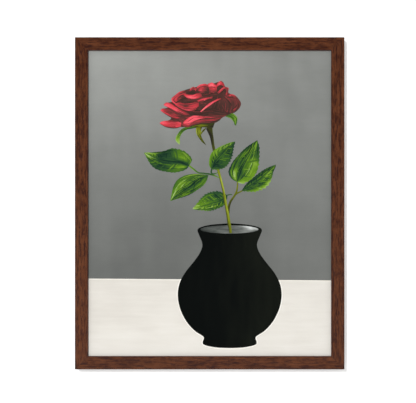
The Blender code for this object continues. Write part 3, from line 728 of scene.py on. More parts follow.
# Each leaf: one edge, its midrib and the other edge, from base to tip, then tones in hundredths from
# the first edge to the last
LEAVES = {
    "upper_left": (
        [
            (-33, 60), (-28.5, 70), (-36, 80), (-45, 85), (-55, 87.2), (-61, 88), (-70, 84.5),
            (-80, 82.5), (-90, 81.5), (-105, 81),
        ],
        [(-33, 60), (-42, 64), (-55, 66.5), (-70, 68), (-86, 72), (-105, 81)],
        [
            (-33, 60), (-37, 55), (-45, 51.5), (-56, 49.3), (-66, 50), (-77, 52), (-86, 55),
            (-93, 60.5), (-98, 68), (-105, 81),
        ],
        [
            (30, 32, 34, 42, 30, 14, 30, 60, 60), (25, 42, 62, 46, 16, 10, 40, 62, 58),
            (5, 4, 4, 10, 12, 10, 36, 56, 56), (10, 74, 60, 34, 16, 14, 24, 50, 55),
            (16, 24, 34, 34, 24, 16, 20, 34, 50),
        ],
    ),
    "lower_left": (
        [
            (-2, 45), (-14, 46.5), (-26, 47), (-38, 45), (-46, 41.5), (-53, 36), (-58, 27), (-60.5, 17),
            (-63, 4),
        ],
        [(-2, 45), (-12, 42), (-21, 36), (-31, 27.5), (-41, 20.5), (-52, 13), (-63, 4)],
        [(-2, 45), (-5, 36), (-11, 28), (-20, 21.5), (-29, 15.5), (-39, 11), (-49, 8), (-63, 4)],
        [
            (20, 34, 36, 34, 34, 36, 50, 58), (24, 70, 62, 52, 54, 56, 60, 62),
            (10, 16, 18, 14, 14, 22, 40, 60), (20, 40, 36, 30, 26, 42, 58, 60),
            (34, 46, 42, 36, 30, 30, 48, 55),
        ],
    ),
    "middle": (
        [
            (3, 54.5), (-0.5, 60), (-1, 67), (0.5, 75), (4, 82), (11, 87.5), (21, 92.5), (32, 97),
            (41, 99),
        ],
        [(3, 54.5), (7, 62), (12, 71), (20, 80), (30, 90), (41, 99)],
        [(3, 54.5), (12, 54), (21, 56), (27, 60), (32, 67), (35.5, 75), (37.5, 84), (39, 92), (41, 99)],
        [
            (45, 60, 62, 58, 60, 62, 66, 62), (30, 40, 30, 44, 52, 58, 64, 50),
            (20, 16, 30, 36, 34, 34, 40, 20), (26, 14, 16, 26, 18, 30, 20, 6),
            (36, 42, 22, 22, 16, 12, 8, 4),
        ],
    ),
    "upper_right": (
        [
            (44, 34), (36, 38.5), (31, 46), (30.5, 53), (34, 61), (38, 68), (45, 76), (53, 84.5),
            (62, 92), (76, 101),
        ],
        [(44, 34), (47, 46), (52, 57), (59, 70), (67, 84), (76, 101)],
        [
            (44, 34), (51, 31.5), (59, 34), (68, 40), (75, 50), (78, 60), (79, 70), (79.5, 82),
            (79, 92), (76, 101),
        ],
        [
            (34, 12, 6, 10, 14, 16, 18, 16, 18, 20), (40, 80, 78, 40, 28, 30, 32, 30, 28, 25),
            (16, 10, 10, 28, 34, 36, 38, 50, 66, 40), (70, 58, 52, 60, 62, 74, 38, 34, 30, 24),
            (96, 76, 62, 58, 56, 60, 24, 22, 18, 16),
        ],
    ),
    "lower_right": (
        [(51, 20), (57, 29), (64, 36.5), (73, 43.5), (82, 50.5), (91, 56), (99, 59.5), (106, 62)],
        [(51, 20), (62, 27), (73, 34), (84, 42), (95, 52), (106, 62)],
        [
            (51, 20), (62, 19), (72, 18.8), (81, 21.5), (89, 25.5), (95, 31.5), (99, 40), (101.5, 51),
            (106, 62),
        ],
        [
            (10, 4, 3, 4, 6, 10, 22, 30), (10, 10, 16, 28, 30, 30, 34, 30),
            (16, 20, 34, 38, 34, 44, 40, 30), (30, 26, 34, 28, 40, 52, 34, 28),
            (34, 60, 70, 78, 86, 72, 62, 30),
        ],
    ),
    "low_left": (
        [
            (28.5, 11), (24, 15.5), (14, 19), (6, 18.5), (-3, 16.2), (-10, 11.5), (-16, 5), (-21, -1.5),
            (-27.5, -9),
        ],
        [(28.5, 11), (20, 5), (10, 1.5), (-1, -1.5), (-13, -5), (-27.5, -9)],
        [(28.5, 11), (25, -1), (18, -6), (9, -9.7), (-1, -12), (-12, -11), (-20, -10.5), (-27.5, -9)],
        [
            (10, 18, 16, 18, 22, 28, 40, 62, 92), (14, 20, 28, 36, 38, 44, 50, 64, 86),
            (10, 22, 34, 40, 44, 50, 54, 70, 90), (12, 20, 28, 44, 50, 50, 54, 62, 78),
            (14, 20, 24, 24, 16, 44, 58, 60, 64),
        ],
    ),
}
LEAF_TEETH = {  # depth of the teeth along the first and the last edge, in millimetres
    "upper_left": (1.3, 1.1), "lower_left": (0.4, 0.8), "middle": (0.5, 2.5),
    "upper_right": (0.7, 1.9), "lower_right": (1.0, 2.7), "low_left": (2.7, 1.9),
}
LEAF_STROKES = {  # strokes across and along each leaf
    "upper_left": (34, 26), "lower_left": (8, 60), "middle": (40, 20),
    "upper_right": (12, 48), "lower_right": (34, 24), "low_left": (44, 12),
}


def serrate(flat, depths, draw):
    """Small forward-pointing teeth along both long edges of a leaf's rows of points."""
    columns = flat.shape[1]
    for row, inner, depth in ((0, 6, depths[0]), (-1, -7, depths[1])):
        outward = flat[row] - flat[inner]
        outward /= np.maximum(np.linalg.norm(outward, axis=1, keepdims=True), 1e-6)
        place, teeth = 0, np.zeros(columns)
        while place < columns:
            size = draw.randint(5, 7)
            deep = depth * draw.uniform(0.6, 1.2)
            for k in range(min(size, columns - place)):
                teeth[place + k] = deep * (k / (size - 1) - 0.35)
            place += size
        shift = (teeth * np.sin(np.linspace(0, math.pi, columns)) ** 0.4)[:, None] * outward
        step = 1 if row == 0 else -1
        for k, share in enumerate((1.0, 0.6, 0.25)):
            flat[row + step * k] += shift * share
    return flat


def leaf_height():
    """A raised midrib with a dip beside it, and veins that run forward from it to the edges."""
    v = np.linspace(-1, 1, LEAF_GRID[0])[:, None]
    u = np.linspace(0, 1, LEAF_GRID[1])[None, :]
    rib = 0.00004 * np.exp(-((v / 0.07) ** 2)) * (1 - 0.6 * u)
    cup = 0.00003 * (1 - np.exp(-((v / 0.30) ** 2)))
    wave = np.cos(2 * math.pi * (7 * u - 0.9 * np.abs(v)))
    return rib + cup + 0.00001 * wave * np.minimum(np.abs(v) * 6, 1)


def vein_strokes(ground, draw, count):
    """Strokes from the midrib forward to each edge, and the dark line of the midrib itself."""
    middle, tip = (LEAF_GRID[0] - 1) / 2, LEAF_GRID[1] - 1
    found = []
    for i in range(count):
        side = 1 if i % 2 else -1
        start = draw.uniform(0.02, 0.80)
        begin = draw.uniform(0.03, 0.35)
        end = min(begin + draw.uniform(0.35, 0.75), 0.98)
        sweep = draw.uniform(0.12, 0.24)
        path = []
        for share in np.linspace(begin, end, 5):
            path.append((middle + side * share * middle, (start + sweep * share**1.3) * tip))
        shift = draw.choice((-0.30, -0.24, -0.18, -0.12, 0.12, 0.18, 0.24))
        found.append(dab(ground, path, draw.uniform(0.8, 1.9), shift, LEAF_LIFT + 0.00005))
    rib = [(middle, share * tip) for share in (0.0, 0.25, 0.5, 0.75, 0.94)]
    found.append(dab(ground, rib, 1.6, -0.22, LEAF_LIFT + 0.00008))
    return found


def make_leaves():
    green = paint("leaf_paint", LEAF_GREEN, 0.26, 110, 700, 0.00016, 0.47)
    for name, (first, rib, last, table) in LEAVES.items():
        draw = random.Random(name)
        flat = serrate(ruled([first, rib, last], *LEAF_GRID), LEAF_TEETH[name], draw)
        tones = spread(table, *LEAF_GRID)
        layers = [layer(flat, tones, LEAF_LIFT, leaf_height(), name)]
        across, along = LEAF_STROKES[name]
        layers += strokes_along((flat, tones), LEAF_LIFT + 0.00004, draw, along, (0.8, 2.0))
        layers += vein_strokes((flat, tones), draw, across)
        leaf = film(f"leaf_{name}", layers, green)
        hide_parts(f"painted_leaf_{name}")


# Each sepal, and the cup they grow from: outer edge, inner edge, and tones in hundredths
SEPALS = {
    "left": (
        [
            (-20, 124.5), (-30, 123), (-38, 122), (-45, 118.5), (-50, 112.5), (-54, 105.5), (-54, 99.5),
            (-48.5, 94),
        ],
        [
            (-20, 121), (-28, 119.5), (-36, 118), (-42, 114.5), (-46.5, 108.5), (-48, 102.5),
            (-47.5, 98), (-48.5, 94),
        ],
        [(20, 22, 28, 34, 50, 74, 80, 85), (26, 28, 34, 30, 36, 58, 66, 80)],
    ),
    "middle": (
        [(-21.5, 123), (-22, 117), (-21, 111), (-18, 105.5), (-13, 99), (-5.5, 93)],
        [(-12, 122), (-13.5, 117), (-14, 111), (-12.5, 105), (-9.5, 99.5), (-5.5, 93)],
        [(30, 56, 60, 40, 30, 20), (46, 70, 50, 20, 10, 16), (10, 34, 40, 20, 6, 10)],
    ),
    "middle_fork": (
        [(-15, 112), (-12, 116), (-9.5, 118.5), (-6.5, 120.5)],
        [(-14, 109.5), (-10.5, 114), (-8, 117), (-5.5, 119)],
        [(60, 50, 30, 20), (30, 30, 20, 10)],
    ),
    "right": (
        [
            (14, 141.5), (22, 144.2), (30, 144), (36, 144), (40.5, 141.5), (44, 137), (44, 131),
            (42, 124),
        ],
        [
            (14, 139.5), (22, 139.8), (28, 138), (33, 135.8), (36.5, 132.8), (38.8, 129.5),
            (39.5, 126.5), (42, 124),
        ],
        [
            (34, 42, 30, 40, 50, 40, 34, 34), (26, 30, 16, 30, 36, 46, 40, 34),
            (26, 16, 30, 50, 52, 30, 16, 20),
        ],
    ),
    "middle_calyx": (
        [(-30, 124), (-24, 125.5), (-16, 127.4), (-8, 128.6), (0, 129.3), (8, 128.5)],
        [(-28, 122.6), (-22, 121.6), (-14, 121.6), (-7, 121.2), (0, 119.5), (5.5, 121)],
        [(40, 40, 30, 26, 12, 4), (34, 36, 32, 22, 8, 2), (26, 26, 20, 12, 4, 0)],
    ),
}

# (right, up, half width) along the stem, and along each branch with its tones in hundredths
STEM = [
    (-0.9, 121, 5.4), (1.3, 113, 3.7), (3.2, 106, 2.8), (5.0, 95, 2.3), (7.2, 84, 2.1),
    (10.2, 69, 2.0), (13.2, 55, 2.0), (16.6, 42, 1.9), (20, 29, 1.9), (23.6, 12, 1.9),
    (26.4, -5, 2.2), (29, -19, 2.5), (31.2, -33.5, 2.6), (32.4, -40, 2.4), (33.4, -47.6, 2.0),
]
BRANCHES = {
    "left": (
        [
            (17, 40, 0.5), (8, 44, 1), (0, 46.6, 1.3), (-10, 48, 1.1), (-18, 49, 1.1), (-25, 54, 1.3),
            (-34, 61, 1.3),
        ],
        [(62, 60, 32, 26, 40, 66, 72), (46, 40, 20, 16, 26, 46, 50)],
    ),
    "middle": (
        [(13, 49, 0.6), (6, 47, 1), (2.5, 49.5, 1.2), (3.6, 56, 1.2)],
        [(62, 40, 26, 20), (46, 26, 16, 10)],
    ),
    "right": (
        [
            (29.5, -16, 2.2), (30.5, -6, 1.9), (33.5, 3, 1.7), (39, 11, 1.6), (43, 19, 1.4),
            (44.4, 28, 1.2), (44.4, 36, 0.8),
        ],
        [(40, 34, 30, 42, 50, 50, 40), (16, 14, 14, 30, 36, 40, 30)],
    ),
    "low_right": (
        [(38.5, 11, 1.2), (43, 15.5, 1.4), (49, 18.5, 1.1), (56, 22, 0.8)],
        [(46, 56, 50, 30), (30, 40, 34, 20)],
    ),
    "low_left": (
        [(36, 13.8, 0.5), (32, 13.9, 0.8), (27, 12.5, 0.8)],
        [(20, 24, 20), (10, 10, 10)],
    ),
}


def make_stems():
    """The stem lies under the middle leaf and, from there down, over the lowest leaf and the vase's
    mouth."""
    olive = paint("stem_paint", STEM_GREEN, 0.5, 60, 900, 0.00016, 0.47)
    green = paint("branch_paint", LEAF_GREEN, 0.4, 60, 900, 0.00016, 0.47)
    flat = ribbon(STEM, *STEM_GRID)
    tones = spread(
        [
            (26, 16, 20, 45, 50, 55, 62, 80, 84, 70, 74, 66, 62, 56, 50),
            (6, 0, 2, 16, 40, 50, 60, 74, 70, 56, 60, 58, 52, 46, 40),
            (0, 0, 2, 6, 20, 30, 34, 30, 24, 28, 32, 26, 22, 20, 16),
        ],
        *STEM_GRID,
    )
    over = STEM_OVER_LEAF * np.clip((44 - flat[..., 1]) / 10, 0, 1)
    ground = layer(flat, tones, STEM_LIFT, over + 0.00005 * crown(*STEM_GRID), "stem")
    stem = film("stem", [ground], olive)
    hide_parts("painted_stem")
    for name, (spine, table) in BRANCHES.items():
        flat, tones = ribbon(spine, *BRANCH_GRID), spread(table, *BRANCH_GRID)
        ground = layer(flat, tones, BRANCH_LIFT, 0.00003 * crown(*BRANCH_GRID), name)
        branch = film(f"branch_{name}", [ground], olive if "right" in name else green)
        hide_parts("painted_stem")


def make_sepals():
    green = paint("sepal_paint", LEAF_GREEN, 0.36, 90, 700, 0.00014, 0.47)
    olive = paint("olive_sepal_paint", STEM_GREEN, 0.40, 90, 700, 0.00014, 0.47)
    for name, (outer, inner, table) in SEPALS.items():
        flat, tones = ruled([outer, inner], *SEPAL_GRID), spread(table, *SEPAL_GRID)
        lift = CALYX_LIFT if "calyx" in name else SEPAL_LIFT
        layers = [layer(flat, tones, lift, 0.00005 * crown(*SEPAL_GRID), name)]
        layers += strokes_along((flat, tones), lift + 0.00005, random.Random(name), 16, (0.5, 1.2))
        sepal = film(f"sepal_{name}", layers, olive if "middle" in name else green)
        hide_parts(f"painted_sepal_{name.split('_')[0]}")


# Each petal, from the back to the front: its outer edge, its inner edge, and tones in hundredths
# from the first to the second
PETALS = {
    "back_left_hollow": (
        [(-48, 178), (-38, 180.5), (-30, 184), (-20, 186), (-8, 189), (3, 191), (14, 191), (24, 188)],
        [(-50, 158), (-40, 158), (-30, 160), (-20, 162), (-8, 166), (4, 168), (14, 168), (26, 168)],
        [(20, 16, 20, 20, 16, 20, 20, 20), (16, 6, 5, 10, 14, 10, 10, 16)],
    ),
    "right_body": (
        [
            (24, 187), (29.5, 184), (30, 177), (35, 174.5), (42, 171.5), (47, 166), (50, 160),
            (48, 153), (42, 146.5), (36, 144),
        ],
        [
            (10, 172), (10, 168), (8, 163), (6, 158), (4, 153), (2, 149), (0, 145), (-2, 141), (0, 137),
            (10, 133),
        ],
        [
            (28, 30, 28, 38, 34, 28, 24, 26, 20, 14), (10, 14, 14, 20, 14, 10, 8, 14, 10, 8),
            (4, 6, 4, 4, 2, 4, 4, 4, 6, 10),
        ],
    ),
    "lower_body": (
        [
            (-62, 161), (-52, 158), (-40, 153), (-28, 150), (-14, 150), (0, 152), (14, 150), (28, 146),
            (36, 144),
        ],
        [
            (-46, 128), (-36, 124), (-28, 126), (-18, 128), (-8, 128.5), (2, 129), (9, 130), (15, 133),
            (21, 139),
        ],
        [
            (14, 12, 10, 6, 2, 2, 4, 8, 10), (16, 18, 12, 4, 4, 6, 8, 12, 16),
            (30, 26, 24, 22, 18, 20, 22, 20, 22),
        ],
    ),
    "right_roll": (
        [(27.5, 172), (31, 173.6), (35, 174.6), (39.5, 173.3), (44, 169.8)],
        [(28, 168), (31, 169), (35, 169.5), (39, 168.5), (42.5, 165.5)],
        [(36, 50, 66, 52, 30), (24, 40, 50, 34, 20), (14, 20, 22, 16, 12)],
    ),
    "right_roll_streak": (
        [(45.5, 158), (43.5, 153.5), (40, 149.5), (35.5, 146.5)],
        [(43.5, 158), (41.5, 154.5), (37.5, 151), (33, 148.2)],
        [(24, 40, 34, 22), (16, 30, 26, 16)],
    ),
    "shoulder": (
        [(24.5, 186.2), (29, 185), (30.2, 182.5), (29.5, 178), (28, 173)],
        [(22, 183), (24.5, 181.5), (25, 179), (24.5, 175.5), (23.5, 171)],
        [(42, 40, 34, 32, 26), (24, 20, 18, 16, 12)],
    ),
    "top_left_under": (
        [(-21, 184.5), (-15, 187), (-9, 188), (-2, 187)],
        [(-19, 176), (-14, 175.5), (-8, 175), (-1, 175)],
        [(30, 50, 44, 20), (14, 54, 30, 8), (10, 30, 10, 5)],
    ),
    "top_left_rim": (
        [(-21, 185.5), (-18, 188), (-14, 190.2), (-8, 191.2), (-2.5, 189.8)],
        [(-20, 183.5), (-17, 184.8), (-13, 186.3), (-8, 187), (-3, 186)],
        [(66, 82, 80, 60, 50), (50, 74, 66, 44, 34)],
    ),
    "swirl": (
        [(-33, 179), (-31, 182.5), (-28, 185.6), (-25, 186.2), (-21.5, 183.5)],
        [(-31, 177), (-29, 179.5), (-27, 181), (-24.5, 181), (-22, 178.5)],
        [(36, 50, 44, 52, 60), (26, 34, 30, 40, 44)],
    ),
    "top_middle_under": (
        [(-1.5, 186.5), (4, 187), (12, 184.5)],
        [(0, 177), (5, 175.5), (12, 176)],
        [(50, 66, 78), (40, 50, 30), (20, 8, 10)],
    ),
    "top_middle_rim": (
        [(-2.8, 191), (0, 192), (3, 193.2), (6.5, 191.7), (11, 189)],
        [(-2, 185.6), (1, 185.8), (4, 186), (7.5, 185), (11.5, 184)],
        [(60, 74, 80, 74, 56), (74, 94, 96, 72, 60), (60, 78, 92, 70, 60)],
    ),
    "top_right_under": (
        [(11, 185), (17, 188), (24, 186)],
        [(12, 175), (18, 177), (25, 179)],
        [(22, 14, 30), (8, 5, 14), (10, 8, 12)],
    ),
    "top_right_rim": (
        [(10.8, 189), (13, 193), (16.8, 195.7), (20, 194.8), (22.4, 192), (24.6, 187)],
        [(11, 184), (13.5, 187), (16.5, 188.6), (19, 188), (21, 186.2), (23, 184)],
        [(50, 62, 66, 54, 48, 36), (52, 76, 84, 60, 46, 30), (40, 52, 54, 40, 34, 24)],
    ),
    "right_streak": (
        [(12, 177.8), (17, 181.8), (21.5, 185.2), (25.2, 186.6)],
        [(14, 175), (19, 178.4), (23, 181.8), (25.6, 184)],
        [(40, 74, 72, 50), (26, 50, 50, 30)],
    ),
    "bowl_left_inside": (
        [(-60, 168), (-54, 173), (-47, 177.5), (-38, 179.8), (-31, 180)],
        [(-55, 160), (-50, 164), (-45, 166), (-38, 168), (-31, 170)],
        [(52, 50, 40, 24, 20), (50, 50, 14, 6, 6), (54, 40, 8, 4, 4)],
    ),
    "bowl_left_rim": (
        [
            (-61.6, 165.5), (-60, 169), (-56, 172.3), (-52, 175.7), (-48, 178.2), (-43, 179.8),
            (-37, 180.4), (-31.5, 181.2),
        ],
        [
            (-59, 165), (-57.4, 167.4), (-53.5, 170.2), (-49.5, 173.4), (-46, 175.4), (-42, 177.2),
            (-36.6, 178), (-31.5, 178.6),
        ],
        [(80, 78, 70, 72, 66, 50, 42, 40), (66, 62, 56, 54, 46, 30, 26, 24)],
    ),
    "bowl_left_inner": (
        [(-56, 164.5), (-55, 168), (-52, 171.6), (-47.5, 174.6), (-42, 176.8), (-38, 177.4)],
        [(-52, 163.6), (-51, 166.6), (-48.8, 169.4), (-45, 172), (-41, 173.8), (-37.5, 174.6)],
        [(64, 74, 70, 60, 44, 34), (50, 50, 44, 36, 30, 24)],
    ),
    "bowl_left_lower": (
        [(-61.6, 166), (-60.4, 162.8), (-57, 159.8), (-52, 157)],
        [(-58.6, 166), (-57.2, 163.4), (-54, 161.4), (-49.5, 159.4)],
        [(82, 80, 74, 60), (62, 66, 58, 44)],
    ),
    "bud_hole": (
        [(-36, 177.4), (-30, 179.2), (-23.5, 178.6), (-18, 177)],
        [(-36, 172.4), (-30, 172.5), (-23.5, 173.4), (-18, 173)],
        [(10, 2, 2, 8), (6, 1, 2, 6)],
    ),
    "bud": (
        [(-41, 177), (-37.5, 174.6), (-32, 173.4), (-26, 173.6), (-21, 175.6), (-14, 176.4)],
        [(-42, 173.6), (-38.5, 169.6), (-33, 167), (-26, 166.2), (-19, 167.4), (-11.5, 170.6)],
        [(40, 50, 66, 66, 50, 34), (50, 74, 92, 88, 66, 40), (44, 66, 82, 78, 56, 30)],
    ),
    "bud_front": (
        [(-42, 166), (-34, 166), (-26, 165.5), (-18, 168), (-9, 171), (1, 174)],
        [(-43, 161), (-35, 161), (-26, 161), (-18, 163.5), (-9, 166), (1, 169)],
        [(8, 30, 20, 30, 20, 10), (5, 10, 12, 12, 10, 10)],
    ),
    "front_streak": (
        [(-20, 164), (-12, 167), (-4, 169), (5, 171)],
        [(-17, 161.5), (-10, 163), (-3, 165), (4.5, 167.6)],
        [(66, 78, 72, 40), (50, 62, 56, 26)],
    ),
    "front_wide": (
        [(-55, 160), (-48, 161), (-40, 159.4), (-31, 160), (-23, 161.4), (-15, 163.4), (-9, 165.6)],
        [
            (-55, 157.4), (-48, 152.6), (-40, 149), (-32.5, 147.4), (-26, 148), (-20.4, 151.6),
            (-15.6, 157), (-9.6, 163.8),
        ],
        [
            (66, 54, 50, 60, 60, 50, 36), (64, 34, 22, 36, 52, 42, 30), (74, 66, 60, 58, 56, 40, 26),
            (80, 86, 82, 76, 66, 46, 26),
        ],
    ),
    "front_dark_fold": (
        [(-17, 162), (-12, 162), (-7, 161), (-3, 160)],
        [(-18, 150), (-14, 148), (-9, 150), (-5, 153)],
        [(16, 20, 16, 20), (10, 6, 6, 14), (20, 10, 8, 20)],
    ),
    "highlight_fold": (
        [(-15, 147.2), (-9.5, 152.4), (-4, 157.4), (1, 161), (6, 164), (12, 166.6), (18.5, 168)],
        [
            (-14, 145.6), (-9.5, 149), (-4.5, 153.2), (0.5, 156), (5.5, 158.6), (8.5, 161),
            (12.5, 163.6), (17.5, 166),
        ],
        [(70, 80, 78, 82, 74, 60, 40), (86, 98, 92, 92, 84, 66, 44), (72, 94, 84, 80, 70, 50, 30)],
    ),
    "outer_left_upper": (
        [
            (-73.5, 158), (-70, 160.8), (-65, 160.6), (-60, 158.2), (-55, 154.8), (-50, 151.4),
            (-45, 148.6), (-39, 146.2), (-32, 142.6),
        ],
        [
            (-72.5, 156.2), (-68, 153.8), (-62.5, 151), (-57, 148), (-52, 145.4), (-47, 143),
            (-42.5, 141), (-37, 140.2), (-32, 141),
        ],
        [
            (60, 62, 58, 54, 50, 46, 40, 30, 20), (80, 88, 74, 72, 82, 66, 56, 42, 24),
            (84, 82, 70, 78, 80, 70, 60, 44, 22),
        ],
    ),
    "outer_left_middle": (
        [(-78, 150), (-74, 151.8), (-70, 151.2), (-66, 152), (-60, 149.2), (-52, 145), (-45, 141.5)],
        [
            (-78.4, 148.2), (-75, 145.4), (-70, 142.4), (-65, 139.4), (-60, 136.9), (-54, 135.2),
            (-46, 136),
        ],
        [(70, 40, 24, 18, 20, 20, 14), (80, 50, 30, 26, 44, 40, 16), (84, 82, 76, 70, 54, 62, 20)],
    ),
    "outer_left_low": (
        [
            (-79.4, 128.2), (-78, 130.2), (-72, 131.8), (-65, 132.4), (-60, 133.2), (-52, 131.4),
            (-45.5, 129),
        ],
        [
            (-79, 127.2), (-76.4, 125.2), (-72, 122.8), (-66, 121), (-59, 120.3), (-52, 120.4),
            (-45.5, 122.4),
        ],
        [
            (70, 74, 56, 30, 16, 50, 66), (84, 90, 74, 50, 46, 66, 78), (70, 74, 60, 54, 56, 62, 56),
            (50, 50, 40, 38, 36, 44, 40),
        ],
    ),
    "front_low_under": (
        [
            (-45, 127), (-37, 127.5), (-29, 130), (-20, 134), (-10, 135.6), (0, 136.4), (12, 137),
            (22, 139),
        ],
        [
            (-43, 123.2), (-35, 121.6), (-28, 124), (-20, 126.6), (-10, 127.6), (0, 128.2), (8, 129.2),
            (15, 132),
        ],
        [(40, 50, 40, 30, 26, 20, 18, 16), (34, 38, 30, 24, 20, 18, 18, 18)],
    ),
    "front_low": (
        [
            (-42.6, 129), (-40, 132.2), (-35, 135.8), (-30, 138.7), (-25, 140.2), (-20, 139.8),
            (-12, 139.2), (-3, 138), (11, 137.8),
        ],
        [
            (-42, 127.4), (-38.5, 126), (-33.5, 125.8), (-29, 128.6), (-25, 131.6), (-20, 133.3),
            (-12, 134.8), (-3, 136), (11, 136.8),
        ],
        [
            (64, 70, 74, 72, 74, 70, 62, 52, 20), (80, 86, 90, 86, 80, 74, 70, 60, 24),
            (66, 74, 80, 70, 60, 50, 46, 40, 20),
        ],
    ),
}
PETAL_STEP = 0.00007  # from a petal's face to the one that lies over it
PETAL_CROWN = 0.000035
ROSE_MARGIN = 1.2  # from the rose's outline in to its dark ground


def rose_ground():
    """The dark underpainting that shows between the petals, a little inside the rose's outline."""
    _, _, bottom, top = picture_box("painted_rose")
    heights = np.linspace(top - ROSE_MARGIN, bottom + ROSE_MARGIN, 74)
    flat = across_piece("painted_rose", heights, np.linspace(0, 1, 130), ROSE_MARGIN)
    tones = 0.13 + 0.07 * ripple(flat, (16, 3), 9.0)
    return layer(flat, tones, ROSE_LIFT, 0.0, "rose_ground")


def make_rose():
    """Petals laid over one another like the painter's strokes, each a little nearer the viewer and
    with a dark line along its inner edge."""
    red = paint("rose_paint", ROSE_RED, 0.20, 90, 800, 0.00018, 0.45)
    ground = film("rose_ground", [rose_ground()], red)
    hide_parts("painted_rose")
    laid = []
    for name, (outer, inner, table) in PETALS.items():
        draw = random.Random(name)
        corners = np.array(outer + inner)
        low, high = corners.min(0), corners.max(0)
        under = [level for level, a, b in laid if (a < high).all() and (low < b).all()]
        level = 1 + max(under, default=0)
        laid.append((level, low, high))
        reach = np.linalg.norm(np.diff(np.array(outer), axis=0), axis=1).sum()
        along = int(np.clip(reach / 0.9, 26, 120))
        depth = np.linalg.norm(through(outer, 9) - through(inner, 9), axis=1).max()
        across = int(np.clip(depth / 0.7, 9, 40))
        flat = ruled([outer, inner], across, along)
        flat = flat + 0.16 * np.stack([ripple(flat, (3, 3), 60.0), ripple(flat, (3, 3), 80.0)], 2)
        tones = spread(table, across, along)
        place = ROSE_LIFT + PETAL_STEP * level
        layers = [layer(flat, tones, place, PETAL_CROWN * crown(across, along, 0.5), name)]
        count = across * along // 90 + 3
        layers += strokes_along((flat, tones), place + PETAL_CROWN + 0.00001, draw, count, (0.7, 1.7))
        foot = [(across - 1.3, share * (along - 1)) for share in (0.03, 0.25, 0.5, 0.75, 0.97)]
        layers.append(dab((flat, tones), foot, 1.2, -0.5, place + PETAL_CROWN + 0.00002))
        petal = film(f"petal_{name}", layers, red)
        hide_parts("painted_rose")


# Canvas

CLOTH = 0.0008
BEND = 0.0016  # outer radius where the cloth goes round a bar's edge
FLAP = 0.020  # how far it reaches over the bars' backs
FOLD_RAISED, FOLD_SWELL, FOLD_SUNK = 0.0007, 0.0005, 0.0003
FOLD_GRID = 9, 24
STAPLE_HALF_CROWN = 0.005
STAPLE_HALF_WIDTH = 0.0006
STAPLE_HEIGHT = 0.0005
STAPLE_FROM_EDGE = 0.0105
STAPLE_FROM_CORNER = 0.035
STAPLE_CLEAR_OF_CLIP = 0.008
STAPLE_PAST_CLIP = 0.018  # how far a staple moves that would come too near a clip
CLOTH_ROWS, CLOTH_COLUMNS = 101, 81


def cloth_section(front_y, back_y, deep):
    """(inset, y) of the cloth's face, from its front over the bars' sides to the flap's edge. deep is
    how far the face lies inside the outer one."""
    radius = BEND - deep
    turn = np.linspace(0, math.pi / 2, 7)
    side = np.linspace(front_y + BEND, back_y - BEND, 7)[1:-1]
    flap = np.linspace(BEND, FLAP, 11)[1:]
    section = [(BEND - radius * math.sin(a), front_y + BEND - radius * math.cos(a)) for a in turn]
    section += [(deep, y) for y in side]
    section += [(BEND - radius * math.cos(a), back_y - BEND + radius * math.sin(a)) for a in turn]
    return section + [(inset, back_y - deep) for inset in flap]


def cloth_points(shares, half, inset, y):
    """Points of the cloth at shares of its half sizes, with its edges moved in by inset."""
    flat = shares * (half - np.reshape(inset, (-1, 1)))
    return np.column_stack([flat[:, 0], np.broadcast_to(y, len(flat)), flat[:, 1] + CENTRE_Z])


def flap_ring(edge, half, inset, y):
    """One ring round the cloth, which on the flaps wanders a little, as cut and stapled cloth does."""
    share = min(max((inset - BEND) / (FLAP - BEND), 0.0), 1.0) if y > 0 else 0.0
    place = np.where(np.abs(edge[:, 1]) == 1, edge[:, 0], edge[:, 1] * 1.7 + 5)
    wave, tremble, rise = (
        np.array([noise.noise(Vector((along * pitch, seed, 0))) for along in place])
        for pitch, seed in ((9, 3), (60, 7), (22, 5))
    )
    moved = inset + share * (0.0012 * wave + 0.0004 * tremble)
    return cloth_points(edge, half, moved, y + share * np.maximum(0.00012 * rise, 0.0))


def make_canvas():
    low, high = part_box("canvas")
    half = np.array([high.x, (high.z - low.z) / 2])
    grid = np.meshgrid(np.linspace(-1, 1, CLOTH_COLUMNS), np.linspace(-1, 1, CLOTH_ROWS))
    grid = np.stack(grid, 2).reshape(-1, 2)
    rim = rim_of(CLOTH_ROWS, CLOTH_COLUMNS)
    quads = grid_faces(CLOTH_ROWS, CLOTH_COLUMNS)
    points = [cloth_points(grid, half, BEND, low.y), cloth_points(grid, half, BEND, low.y + CLOTH)]
    faces, sides = [quads, quads[:, ::-1] + len(grid)], [0, 1]
    ring = rim
    total = 2 * len(grid)
    outer, inner = (cloth_section(low.y, high.y, deep)[1:] for deep in (0.0, CLOTH))
    for side, section in ((0, outer), (1, inner[::-1])):
        for inset, y in section:
            points.append(flap_ring(grid[rim], half, inset, y))
            after = np.arange(total, total + len(rim))
            faces.append(bridge(ring, after))
            sides.append(side)
            ring, total = after, total + len(rim)
    faces.append(bridge(ring, rim + len(grid)))
    sides.append(1)
    mesh = bpy.data.meshes.new("canvas_cloth")
    mesh.from_pydata(np.concatenate(points).tolist(), [], np.concatenate(faces).tolist())
    kinds = np.repeat(sides, [len(found) for found in faces])
    mesh.polygons.foreach_set("material_index", kinds)
    primed, raw = primed_cloth("primed_canvas_side"), raw_cloth("raw_canvas_side")
    cloth = piece("canvas_cloth", mesh, primed, raw)
    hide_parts("canvas")
    folds = make_corner_folds(primed, half, high.y)


